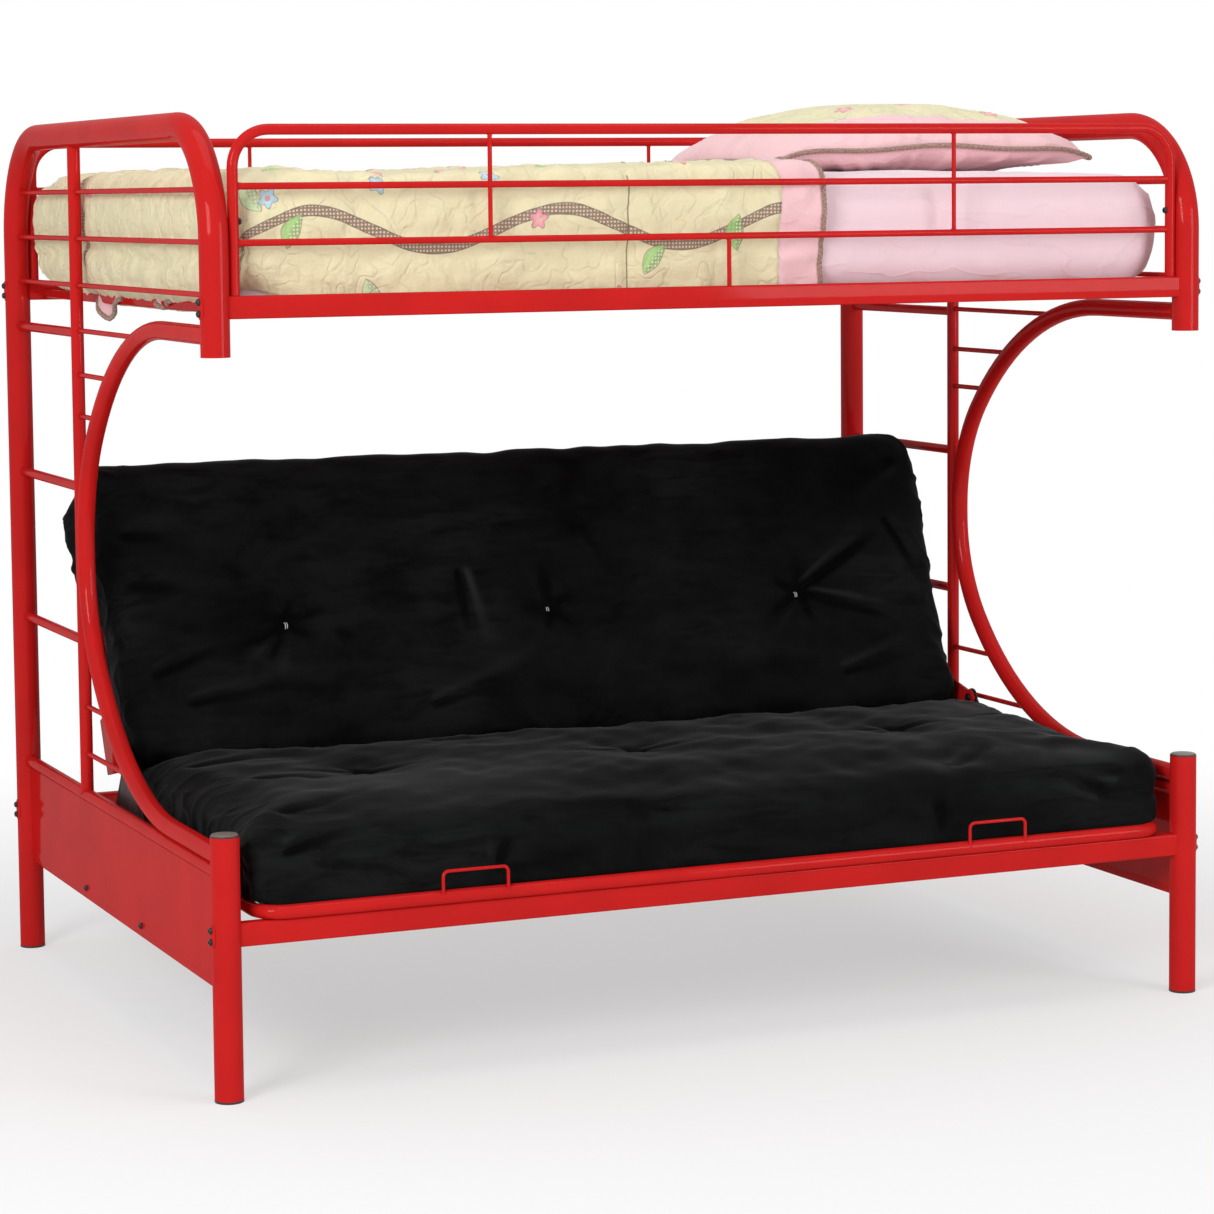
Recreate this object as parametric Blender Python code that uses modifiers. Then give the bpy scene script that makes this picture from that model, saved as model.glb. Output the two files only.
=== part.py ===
"""Bunk bed of red steel tube with C-shaped ends, over a sofa that folds down to a bed.

Metres, +Z up. X runs along the bed, Y from front to back, and the floor is Z = 0.
The origin is on the floor under the middle of the four posts.
"""

from math import acos, cos, exp, pi, radians, sin, sqrt, tan

import bpy
from mathutils import Matrix, Vector

# Driving sizes
post_spacing_x = 1.930
post_spacing_y = 1.385
side_rail_top_z = 1.3888
hoop_rise = 0.2902
hoop_bend_radius = 0.200
stub_drop = 0.1038
front_post_top_z = 0.463
base_rail_top_z = 0.3117
post_radius = 0.0255
post_wall = 0.0015
fitting_gap = 0.0003
overlap = 0.001

# Round bar and tube sizes
arc_radius = 0.017
mid_post_radius = 0.0125
rung_radius = 0.0095
rod_radius = 0.005
frame_tube_radius = 0.0125
guard_tube_radius = 0.0095
guard_bar_radius = 0.006
guard_upright_radius = 0.004
retainer_radius = 0.003

# The C-shaped arc: straight run, easing bend, tight bend, short straight, and the same back again
arc_above_stub_end = 0.036
arc_below_post_top = 0.0393
arc_reach = 0.882
arc_tight_radius = 0.335
arc_middle_length = 0.015
arc_easing_angle = radians(49.3)

# Rods and rungs on the end frames
long_rod_drop = 0.1094
long_rod_pitch = 0.0898
rung_drop = 0.0925
rung_pitch = 0.300
upper_short_rod_drops = (0.1844, 0.1042, 0.0185)
lower_short_rod_rises = (0.0528, 0.1463)

# End panels
panel_tube_drop = 0.0695
panel_bottom_z = 0.184
panel_hem_height = 0.021
panel_sheet_thickness = 0.0015
panel_hem_thickness = 0.0045

# Post fittings
foot_thickness = 0.004
plug_depth = 0.018
plug_recess = 0.003
cap_thickness = 0.005

# Rails and guards
rail_depth = 0.0254
rail_wall = 0.0015
side_rail_height = 0.0392
rail_lip_width = 0.014
rail_lip_thickness = 0.0035
base_rail_height = 0.0417
guard_rise = 0.2817
guard_bend_radius = 0.065
guard_bar_pitch = 0.096
guard_upright_share = 0.496
guard_bolt_drop = 0.1555
guard_bolt_radius = 0.003
guard_bolt_head_radius = 0.0062
guard_bolt_head_height = 0.005

# Upper deck
slat_count = 12
slat_width = 0.030
slat_height = 0.018
deck_end_inset = 0.050
runner_share = 0.49

# Saddle plates with two bolt heads, each row as shares of the height and of the half angle
saddle_half_angle = radians(27.0)
saddle_height = 0.040
saddle_thickness = 0.0018
saddle_bolt_spacing = 0.020
saddle_row_shares = ((-0.5, 0.45), (-0.33, 1.0), (0.33, 1.0), (0.5, 0.45))
bolt_head_radius = 0.0055
bolt_head_height = 0.0035

# Sofa frame
sofa_side_inset = 0.060
sofa_corner_radius = 0.050
cross_tube_radius = 0.0095
seat_end_before_hinge = 0.030
back_start_after_hinge = 0.035
back_end_inset = 0.0025
sofa_slat_width = 0.030
sofa_slat_thickness = 0.004
sofa_slat_count = 11
hinge_y = 0.065
recline_angle = radians(64.3)
retainer_height = 0.0475
retainer_x_shares = ((-0.6343, -0.4983), (0.5326, 0.6641))
side_retainer_y_shares = (0.385, 0.547)
retainer_bend_radius = 0.010

# Hinge hardware
hinge_plate_thickness = 0.0055
hinge_ear_radius = 0.018
hinge_plate_reach = 0.100
bracket_gap = 0.0015
bracket_thickness = 0.004
bracket_ear_radius = 0.020
bracket_bolt_offsets_y = (-0.224, 0.169)
bracket_bolt_rise = 0.0215
bracket_shelf_offsets_y = (-0.195, -0.040)
bracket_shelf_thickness = 0.005
bracket_stud_radius = 0.004
standoff_radius = 0.008
pivot_radius = 0.006
pivot_clearance = 0.0001
pivot_head_radius = 0.010
pivot_head_thickness = 0.0034
pivot_nut_thickness = 0.0055

# Sofa mattress
pad_overhang_x = 0.006
pad_rest_gap = 0.0005
pad_thickness = 0.1425
pad_edge = 0.040
pad_crown = 0.010
pad_corner = 0.070
pad_fold_gap = 0.0015
pad_overhang_back = 0.030
tuft_x_shares = (-0.62, 0.0, 0.62)
seat_tuft_share = 0.594
back_tuft_share = 0.412
tuft_depth = 0.022
tuft_reach = 0.070

# Shares of a pad's edge radius and corner size
edge_step_shares = (0.0, 0.12, 0.45, 1.0)
lower_edge_share = 0.5
corner_pull_share = 0.3

# Upper mattress, quilt and pillow
mattress_inset = 0.041
mattress_thickness = 0.2077
mattress_edge = 0.030
mattress_crown = 0.004
mattress_corner = 0.060
quilt_thickness = 0.012
quilt_clearance = 0.0025
quilt_lift = 0.0060
quilt_edge = 0.030
quilt_edge_step_share = 0.4
quilt_right_share = 0.2165
quilt_side_hem_rise = 0.0055
quilt_end_hem_drop = 0.0225
quilt_ripple = 0.0015
quilt_ripple_length = 0.330
quilt_ripple_width = 0.570
quilt_ripple_lean_share = 0.27
quilt_fold = 0.0025
quilt_fold_turn = radians(132.0)
pillow_centre_shares = (0.606, -0.230)
pillow_size = (0.700, 0.480)
pillow_rise = 0.105
pillow_sink = 0.036
pillow_rest_gap = 0.0035
pillow_pinch_share = 0.05

# Counts of flats on round pieces
post_sides = 20
tube_sides = 12
bar_sides = 10
thin_sides = 8

# Colours
red_paint = (0.560, 0.016, 0.022)
black_steel = (0.020, 0.020, 0.022)
black_plastic = (0.025, 0.025, 0.025)
cap_plastic = (0.170, 0.140, 0.115)
black_suede = (0.008, 0.008, 0.009)
pink_cotton = (0.800, 0.480, 0.560)
cream_cotton = (0.800, 0.700, 0.450)

# Places worked out from the sizes above
half_x = post_spacing_x / 2
half_y = post_spacing_y / 2
front_y = -half_y
back_y = half_y
bore_radius = post_radius - post_wall
plug_radius = bore_radius - 2 * fitting_gap
hoop_top_z = side_rail_top_z + hoop_rise
stub_bottom_z = side_rail_top_z - stub_drop
arc_top_z = stub_bottom_z + arc_above_stub_end
arc_bottom_z = front_post_top_z - arc_below_post_top
arc_tight_angle = pi / 2 - arc_easing_angle
arc_rise = (arc_top_z - arc_bottom_z - arc_middle_length) / 2
arc_easing_radius = (arc_rise - arc_tight_radius * sin(arc_tight_angle)) / (1 - sin(arc_tight_angle))
mid_post_y = front_y + arc_reach + arc_radius + mid_post_radius
long_rod_heights = [hoop_top_z - long_rod_drop - long_rod_pitch * step for step in (2, 1, 0)]
rung_heights = [long_rod_heights[0] - rung_drop - rung_pitch * step for step in (2, 1, 0)]
short_rod_heights = [arc_bottom_z + rise for rise in lower_short_rod_rises]
short_rod_heights += [arc_top_z - drop for drop in upper_short_rod_drops]
panel_tube_z = front_post_top_z - panel_tube_drop
panel_hem_top_z = panel_bottom_z + panel_hem_height

rail_half = rail_depth / 2
side_rail_bottom_z = side_rail_top_z - side_rail_height
base_rail_bottom_z = base_rail_top_z - base_rail_height
guard_x = half_x - post_radius - fitting_gap - guard_tube_radius
guard_top_z = side_rail_top_z + guard_rise
guard_bar_heights = (guard_top_z - 2 * guard_bar_pitch, guard_top_z - guard_bar_pitch)
guard_bolt_z = guard_top_z - guard_bolt_drop
deck_end_x = half_x - deck_end_inset
deck_bottom_z = side_rail_bottom_z + rail_lip_thickness + 2 * fitting_gap

sofa_side_x = half_x - sofa_side_inset
sofa_tube_z = base_rail_top_z + frame_tube_radius + fitting_gap
seat_front_y = front_y - frame_tube_radius
seat_rear_y = hinge_y - seat_end_before_hinge
back_start_y = hinge_y + back_start_after_hinge
back_end_y = back_y - back_end_inset
retainer_y = seat_front_y - frame_tube_radius + retainer_radius
retainer_top_z = sofa_tube_z + retainer_height
retainer_spans_x = [[share * sofa_side_x for share in shares] for shares in retainer_x_shares]
seat_depth = seat_rear_y - seat_front_y
side_retainer_span_y = [seat_front_y + share * seat_depth for share in side_retainer_y_shares]
sofa_pad_half_length = sofa_side_x + pad_overhang_x
sofa_pad_bottom_z = sofa_tube_z + frame_tube_radius + pad_rest_gap
sofa_pad_top_z = sofa_pad_bottom_z + pad_thickness
seat_pad_front_y = retainer_y + retainer_radius + pad_rest_gap
back_pad_end_y = back_end_y + pad_overhang_back
hinge_z = sofa_pad_top_z
pivot = Vector((0.0, hinge_y, hinge_z))
hinge_plate_low_x = sofa_side_x + frame_tube_radius - overlap
hinge_plate_x = (hinge_plate_low_x, hinge_plate_low_x + hinge_plate_thickness)
bracket_low_x = hinge_plate_x[1] + bracket_gap
bracket_plate_x = (bracket_low_x, bracket_low_x + bracket_thickness)
bracket_bolts_y = [hinge_y + offset for offset in bracket_bolt_offsets_y]
bracket_bolts_z = panel_bottom_z + bracket_bolt_rise
bracket_shelf_y = [hinge_y + offset for offset in bracket_shelf_offsets_y]

mattress_half_length = half_x - mattress_inset
mattress_half_width = half_y - mattress_inset
mattress_bottom_z = deck_bottom_z + slat_height + 2 * fitting_gap
mattress_top_z = mattress_bottom_z + mattress_thickness
quilt_right_x = quilt_right_share * mattress_half_length
quilt_side_hem_z = mattress_bottom_z + quilt_side_hem_rise
quilt_end_hem_z = mattress_bottom_z - quilt_end_hem_drop
pillow_seam_z = mattress_top_z + pillow_sink + pillow_rest_gap

for leftover in list(bpy.data.objects):
    bpy.data.objects.remove(leftover, do_unlink=True)

parts = bpy.data.collections.new("Bunk bed with folding sofa")
tools = bpy.data.collections.new("Cutters and weld-on bodies")
bpy.context.scene.collection.children.link(parts)
bpy.context.scene.collection.children.link(tools)


def paint(name, colour, roughness):
    """Plain material of one colour."""
    material = bpy.data.materials.new(name)
    material.use_nodes = True
    shader = material.node_tree.nodes["Principled BSDF"]
    shader.inputs["Base Color"].default_value = (*colour, 1.0)
    shader.inputs["Roughness"].default_value = roughness
    material.diffuse_color = (*colour, 1.0)
    return material


RED = paint("red gloss paint", red_paint, 0.25)
STEEL = paint("black steel", black_steel, 0.45)
PLASTIC = paint("black plastic", black_plastic, 0.50)
CAP = paint("grey-brown plastic", cap_plastic, 0.50)
SUEDE = paint("black suede cloth", black_suede, 0.90)
PINK = paint("pink cotton", pink_cotton, 0.85)
CREAM = paint("cream cotton", cream_cotton, 0.85)


def box(low, high):
    """Corner points and faces of a box."""
    corners = [(x, y, z) for z in (low[2], high[2]) for y in (low[1], high[1]) for x in (low[0], high[0])]
    faces = [(0, 2, 3, 1), (4, 5, 7, 6), (0, 1, 5, 4), (2, 6, 7, 3), (0, 4, 6, 2), (1, 3, 7, 5)]
    return corners, faces


def plate(outline, low_x, high_x):
    """Flat plate with a Y-Z outline, between two X positions."""
    count = len(outline)
    points = [(x, y, z) for x in (low_x, high_x) for y, z in outline]
    faces = [tuple(range(count)), tuple(range(2 * count - 1, count - 1, -1))]
    for i in range(count):
        j = (i + 1) % count
        faces.append((i, i + count, j + count, j))
    return points, faces


def rounded(corners, radius, steps):
    """Path through the corners, with each inner corner turned into an arc."""
    corners = [Vector(c) for c in corners]
    path = [corners[0]]
    for before, corner, after in zip(corners, corners[1:], corners[2:]):
        a = (before - corner).normalized()
        b = (after - corner).normalized()
        half = acos(max(-1.0, min(1.0, a.dot(b)))) / 2
        centre = corner + (a + b).normalized() * (radius / sin(half))
        start = corner + a * (radius / tan(half))
        axis = (start - centre).cross(-a).normalized()
        turn = pi - 2 * half
        for step in range(steps + 1):
            path.append(centre + Matrix.Rotation(turn * step / steps, 3, axis) @ (start - centre))
    path.append(corners[-1])
    return path


def sweep(path, radius, sides, bore=0.0):
    """Round bar, or tube where a bore is given, along a path."""
    path = [Vector(p) for p in path]
    runs = [(b - a).normalized() for a, b in zip(path, path[1:])]
    flat = Vector((1, 0, 0)) if abs(runs[0].x) < 0.9 else Vector((0, 1, 0))
    side = (flat - runs[0] * flat.dot(runs[0])).normalized()
    rings = []
    for index, point in enumerate(path):
        before = runs[max(0, index - 1)]
        after = runs[min(len(runs) - 1, index)]
        along = (before + after).normalized()
        side = (side - along * side.dot(along)).normalized()
        rings.append((point, side, along.cross(side)))
    shells = [radius] + ([bore] if bore else [])
    points = []
    for shell in shells:
        for point, across, up in rings:
            for k in range(sides):
                angle = 2 * pi * (k + 0.5) / sides
                points.append(point + across * (shell * cos(angle)) + up * (shell * sin(angle)))
    faces = []
    count = len(rings)
    for s in range(len(shells)):
        for r in range(count - 1):
            for k in range(sides):
                a = (s * count + r) * sides + k
                b = (s * count + r) * sides + (k + 1) % sides
                face = (a, b, b + sides, a + sides)
                faces.append(face if s == 0 else face[::-1])
    last = (count - 1) * sides
    if bore:
        inner = count * sides
        for k in range(sides):
            j = (k + 1) % sides
            faces.append((j, k, inner + k, inner + j))
            faces.append((last + k, last + j, inner + last + j, inner + last + k))
    else:
        faces.append(tuple(reversed(range(sides))))
        faces.append(tuple(range(last, last + sides)))
    return points, faces


def bar(start, end, radius, sides=thin_sides, bore=0.0):
    """Straight round bar or tube."""
    return sweep([start, end], radius, sides, bore)


def rectangular_tube(low, high, wall):
    """Rectangular tube along X with open ends."""
    outer, faces = box(low, high)
    inner, _ = box((low[0], low[1] + wall, low[2] + wall), (high[0], high[1] - wall, high[2] - wall))
    faces = [f for f in faces if f not in ((0, 4, 6, 2), (1, 3, 7, 5))]
    inside = [tuple(i + 8 for i in reversed(f)) for f in faces]
    ends = []
    for ring in ((0, 4, 6, 2), (1, 3, 7, 5)):
        for i, j in zip(ring, ring[1:] + ring[:1]):
            ends.append((i, j, j + 8, i + 8))
    return outer + inner, faces + inside + ends


def mesh_object(name, shapes, collection):
    """One object from shapes that stay clear of each other."""
    points = []
    faces = []
    for shape_points, shape_faces in shapes:
        start = len(points)
        points.extend(tuple(p) for p in shape_points)
        faces.extend(tuple(i + start for i in f) for f in shape_faces)
    mesh = bpy.data.meshes.new(name)
    mesh.from_pydata(points, [], faces)
    mesh.validate()
    made = bpy.data.objects.new(name, mesh)
    collection.objects.link(made)
    return made


def piece(name, shapes, material, smooth=False):
    """Finished piece of the bed."""
    made = mesh_object(name, shapes, parts)
    made.data.materials.append(material)
    for face in made.data.polygons:
        face.use_smooth = smooth
    return made


def tool(name, shapes):
    """Body that only cuts or adds to a finished piece."""
    made = mesh_object(name, shapes, tools)
    made.hide_render = True
    made.display_type = "WIRE"
    return made


def combine(target, other, operation):
    """Boolean of the target with a tool."""
    modifier = target.modifiers.new(operation.lower() + " " + other.name, "BOOLEAN")
    modifier.operation = operation
    modifier.solver = "EXACT"
    modifier.object = other


def cut(target, *others):
    """Remove each tool from the target."""
    for other in others:
        combine(target, other, "DIFFERENCE")


def weld(target, *others):
    """Join each tool to the target as one body."""
    for other in others:
        combine(target, other, "UNION")


def arc_path(x):
    """Centre line of the C, from the stub to the lower front post."""
    tight_angle = arc_tight_angle
    upper = []
    for step in range(8):
        angle = pi / 2 - arc_easing_angle * step / 8
        y = arc_tight_radius * (cos(tight_angle) - 1) - arc_easing_radius * (cos(tight_angle) - cos(angle))
        z = arc_tight_radius * sin(tight_angle) + arc_easing_radius * (sin(angle) - sin(tight_angle))
        upper.append((y, z))
    for step in range(7):
        angle = tight_angle * (1 - step / 7)
        upper.append((arc_tight_radius * (cos(angle) - 1), arc_tight_radius * sin(angle)))
    rise = upper[0][1]
    extreme_y = front_y + arc_reach
    top = [(x, extreme_y + y, arc_top_z - rise + z) for y, z in upper]
    bottom = [(x, extreme_y + y, arc_bottom_z + rise - z) for y, z in reversed(upper)]
    return [(x, front_y, arc_top_z)] + top + bottom + [(x, front_y, arc_bottom_z)]


def hoop_path(x):
    """Centre line of the back post, the top run and the stub."""
    corners = [(x, back_y, foot_thickness + fitting_gap), (x, back_y, hoop_top_z)]
    corners += [(x, front_y, hoop_top_z), (x, front_y, stub_bottom_z)]
    return rounded(corners, hoop_bend_radius, 7)


def plug(name, x, y, disc_z, disc_thickness, stem_direction, material):
    """Round plug with a disc that covers the tube's end and a stem inside the tube."""
    low, high = disc_z, disc_z + disc_thickness
    made = piece(name, [bar((x, y, low), (x, y, high), post_radius, post_sides)], material)
    inner = high + plug_depth if stem_direction > 0 else low - plug_depth
    outer = high - overlap if stem_direction > 0 else low + overlap
    weld(made, tool(name + " stem", [bar((x, y, outer), (x, y, inner), plug_radius, post_sides)]))
    return made


def saddle(name, x, y, z, side):
    """Curved plate on the outer side of a post, with two domed bolt heads."""
    rows = saddle_row_shares
    columns = 5
    points = []
    for radius in (post_radius + 2 * fitting_gap, post_radius + 2 * fitting_gap + saddle_thickness):
        for height_share, angle_share in rows:
            height = z + saddle_height * height_share
            for c in range(columns):
                angle = saddle_half_angle * angle_share * (2 * c / (columns - 1) - 1)
                points.append((x + side * radius * cos(angle), y + radius * sin(angle), height))
    count = len(rows) * columns
    faces = []
    for r in range(len(rows) - 1):
        for c in range(columns - 1):
            a = r * columns + c
            faces.append((a, a + 1, a + columns + 1, a + columns))
            faces.append((count + a, count + a + columns, count + a + columns + 1, count + a + 1))
    rim = list(range(columns)) + [r * columns + columns - 1 for r in range(1, len(rows))]
    rim += [(len(rows) - 1) * columns + c for c in range(columns - 2, -1, -1)]
    rim += [r * columns for r in range(len(rows) - 2, 0, -1)]
    for i, j in zip(rim, rim[1:] + rim[:1]):
        faces.append((j, i, i + count, j + count))
    if side < 0:
        faces = [f[::-1] for f in faces]
    made = piece(name, [(points, faces)], STEEL)
    heads = []
    face_x = x + side * (post_radius + 2 * fitting_gap + saddle_thickness / 2)
    for offset in (-saddle_bolt_spacing / 2, saddle_bolt_spacing / 2):
        tip_x = face_x + side * (bolt_head_height + saddle_thickness / 2)
        heads.append(bar((face_x, y, z + offset), (tip_x, y, z + offset), bolt_head_radius, bar_sides))
    weld(made, tool(name + " bolt heads", heads))
    return made


def end_frame(side, label):
    """All pieces of one C-shaped end."""
    x = side * half_x
    hoop_line = hoop_path(x)
    hoop = piece("end_hoop_" + label, [sweep(hoop_line, post_radius, post_sides, bore_radius)], RED, True)
    bolt_holes = []
    for y in (front_y, back_y):
        bolt_holes.append(bar((x - side * 2 * post_radius, y, guard_bolt_z), (x, y, guard_bolt_z),
                              guard_bolt_radius + fitting_gap))
    cut(hoop, tool("guard bolt holes " + label, bolt_holes))
    hoop_room = tool("hoop room " + label, [sweep(hoop_line, post_radius + fitting_gap, post_sides)])

    front_bottom = foot_thickness + fitting_gap
    front_ends = (x, front_y, front_bottom), (x, front_y, front_post_top_z)
    front_post = bar(*front_ends, post_radius, post_sides, bore_radius)
    piece("front_post_" + label, [front_post], RED, True)
    room_top_z = front_post_top_z + post_radius
    front_room = tool("front post room " + label, [
        bar((x, front_y, 0.0), (x, front_y, room_top_z), post_radius + fitting_gap, post_sides)])
    plug("post_cap_" + label, x, front_y, front_post_top_z + fitting_gap, cap_thickness, -1, CAP)
    plug("front_foot_" + label, x, front_y, 0.0, foot_thickness, 1, PLASTIC)
    plug("back_foot_" + label, x, back_y, 0.0, foot_thickness, 1, PLASTIC)
    plug_low = stub_bottom_z + plug_recess
    stub_plug = bar((x, front_y, plug_low), (x, front_y, plug_low + plug_depth), plug_radius, post_sides)
    piece("stub_plug_" + label, [stub_plug], PLASTIC)

    arc_line = arc_path(x)
    arc = piece("c_arc_" + label, [sweep(arc_line, arc_radius, tube_sides)], RED, True)
    cut(arc, hoop_room, front_room)
    arc_room = tool("arc room " + label, [sweep(arc_line, arc_radius + fitting_gap, tube_sides)])

    mid_post_low_z = panel_tube_z + frame_tube_radius + fitting_gap
    mid_post_ends = (x, mid_post_y, mid_post_low_z), (x, mid_post_y, hoop_top_z)
    mid_post = piece("mid_post_" + label, [bar(*mid_post_ends, mid_post_radius, tube_sides)], RED, True)
    shorts = [bar((x, mid_post_y, z), (x, front_y + arc_reach / 2, z), rod_radius) for z in short_rod_heights]
    weld(mid_post, tool("short rods " + label, shorts))
    long_rooms = [bar((x, back_y, z), (x, front_y, z), rod_radius + fitting_gap) for z in long_rod_heights]
    cut(mid_post, hoop_room, tool("inside of the C " + label, [arc_inside(x)]), arc_room,
        tool("long rod room " + label, long_rooms))

    for name, z in zip(("low", "mid", "high"), rung_heights):
        rung = piece("rung_" + name + "_" + label, [
            bar((x, mid_post_y, z), (x, back_y, z), rung_radius, bar_sides)], RED, True)
        cut(rung, hoop_room, tool("mid post room " + name + " " + label, [
            bar((x, mid_post_y, z - post_radius), (x, mid_post_y, z + post_radius),
                mid_post_radius + fitting_gap, tube_sides)]))
    for name, z in zip(("low", "mid", "high"), long_rod_heights):
        rod = piece("long_rod_" + name + "_" + label, [
            bar((x, back_y, z), (x, front_y, z), rod_radius)], RED, True)
        cut(rod, hoop_room)

    end_panel(x, side, label, hoop_room, front_room)
    hinge_bracket(side, label)
    for name, y in (("front", front_y), ("back", back_y)):
        rail_middle_z = (side_rail_bottom_z + side_rail_top_z) / 2
        base_middle_z = (base_rail_bottom_z + base_rail_top_z) / 2
        saddle("upper_saddle_" + name + "_" + label, x, y, rail_middle_z, side)
        saddle("base_saddle_" + name + "_" + label, x, y, base_middle_z, side)
        guard_bolt("guard_bolt_" + name + "_" + label, y, side)


def arc_inside(x):
    """Thick plate that fills the C, so that the short rods end on its outer edge."""
    outline = [(p[1], p[2]) for p in arc_path(x)]
    return plate(outline, x - post_radius, x + post_radius)


def end_panel(x, side, label, hoop_room, front_room):
    """Pressed sheet with a tube along its top and a folded hem along its bottom."""
    half_sheet = panel_sheet_thickness / 2
    half_hem = panel_hem_thickness / 2
    panel = piece("end_panel_" + label, [
        bar((x, front_y, panel_tube_z), (x, back_y, panel_tube_z), frame_tube_radius, tube_sides)], RED)
    sheet = box((x - half_sheet, front_y, panel_hem_top_z - overlap), (x + half_sheet, back_y, panel_tube_z))
    hem = box((x - half_hem, front_y, panel_bottom_z), (x + half_hem, back_y, panel_hem_top_z))
    weld(panel, tool("panel sheet " + label, [sheet]), tool("panel hem " + label, [hem]))
    reach = standoff_radius
    holes = [bar((x - reach, y, bracket_bolts_z), (x + reach, y, bracket_bolts_z),
                 bracket_stud_radius + fitting_gap) for y in bracket_bolts_y]
    cut(panel, hoop_room, front_room, tool("panel bolt holes " + label, holes))


def around(centre, radius, start, end, steps):
    """Points on an arc in the Y-Z plane."""
    return [(centre[0] + radius * cos(start + (end - start) * s / steps),
             centre[1] + radius * sin(start + (end - start) * s / steps)) for s in range(steps + 1)]


def hinge_bracket(side, label):
    """Black plate behind the panel that carries the hinge and a shelf for the seat frame."""
    low_x, high_x = sorted(side * v for v in bracket_plate_x)
    foot = bracket_ear_radius
    low_y, high_y = bracket_bolts_y[0] - foot, bracket_bolts_y[1] + foot
    low_z, high_z = bracket_bolts_z - foot, bracket_bolts_z + foot
    outline = [(low_y, low_z), (high_y, low_z), (high_y, high_z)]
    outline += around((hinge_y, hinge_z), foot, 0.0, pi, 6)
    outline += [(low_y, high_z)]
    bracket = piece("hinge_bracket_" + label, [plate(outline, low_x, high_x)], STEEL)
    inner_x = side * (sofa_side_x - frame_tube_radius)
    outer_x = side * (bracket_plate_x[0] + overlap)
    shelf_low, shelf_high = sorted((inner_x, outer_x))
    shelf_top = sofa_tube_z - frame_tube_radius - fitting_gap
    shelf = box((shelf_low, bracket_shelf_y[0], shelf_top - bracket_shelf_thickness),
                (shelf_high, bracket_shelf_y[1], shelf_top))
    weld(bracket, tool("bracket shelf " + label, [shelf]))
    hem_inner = half_x - panel_hem_thickness / 2 - fitting_gap
    hem_outer = half_x + panel_hem_thickness / 2 + fitting_gap
    standoffs = []
    studs = []
    heads = []
    for y in bracket_bolts_y:
        z = bracket_bolts_z
        standoffs.append(bar((side * (bracket_plate_x[1] - overlap), y, z), (side * hem_inner, y, z),
                             standoff_radius, bar_sides))
        studs.append(bar((side * (hem_inner - standoff_radius), y, z),
                         (side * (hem_outer + bolt_head_height / 2), y, z), bracket_stud_radius))
        heads.append(bar((side * hem_outer, y, z), (side * (hem_outer + bolt_head_height), y, z),
                         bolt_head_radius, bar_sides))
    weld(bracket, tool("standoffs " + label, standoffs), tool("studs " + label, studs),
         tool("stud heads " + label, heads))
    hole_radius = pivot_radius + pivot_clearance
    reach = 2 * frame_tube_radius
    cut(bracket, tool("bracket pivot hole " + label, [
        bar((side * (bracket_plate_x[0] - reach), hinge_y, hinge_z),
            (side * (bracket_plate_x[1] + reach), hinge_y, hinge_z), hole_radius, 2 * tube_sides)]))

    head_high = hinge_plate_x[0] - fitting_gap
    head_low = head_high - pivot_head_thickness
    nut_low = bracket_plate_x[1] + fitting_gap
    nut_high = nut_low + pivot_nut_thickness
    bolt = piece("pivot_bolt_" + label, [
        bar((side * (head_low + overlap), hinge_y, hinge_z), (side * (nut_high - overlap), hinge_y, hinge_z),
            pivot_radius, 2 * tube_sides)], STEEL)
    ends = []
    for low, high, sides in ((head_low, head_high, tube_sides), (nut_low, nut_high, 6)):
        inner, outer = (side * low, hinge_y, hinge_z), (side * high, hinge_y, hinge_z)
        ends.append(bar(inner, outer, pivot_head_radius, sides))
    weld(bolt, tool("pivot head and nut " + label, ends))


def guard_bolt(name, y, side):
    """Bolt through the guard's upright into the post, with a domed head inside."""
    seat_x = guard_x - guard_tube_radius - fitting_gap
    head = bar((side * (seat_x - guard_bolt_head_height), y, guard_bolt_z), (side * seat_x, y, guard_bolt_z),
               guard_bolt_head_radius, bar_sides)
    made = piece(name, [head], STEEL)
    shank_end = half_x - post_radius + 2 * post_wall
    shank_start = seat_x - overlap
    weld(made, tool(name + " shank", [
        bar((side * shank_start, y, guard_bolt_z), (side * shank_end, y, guard_bolt_z), guard_bolt_radius)]))


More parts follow.
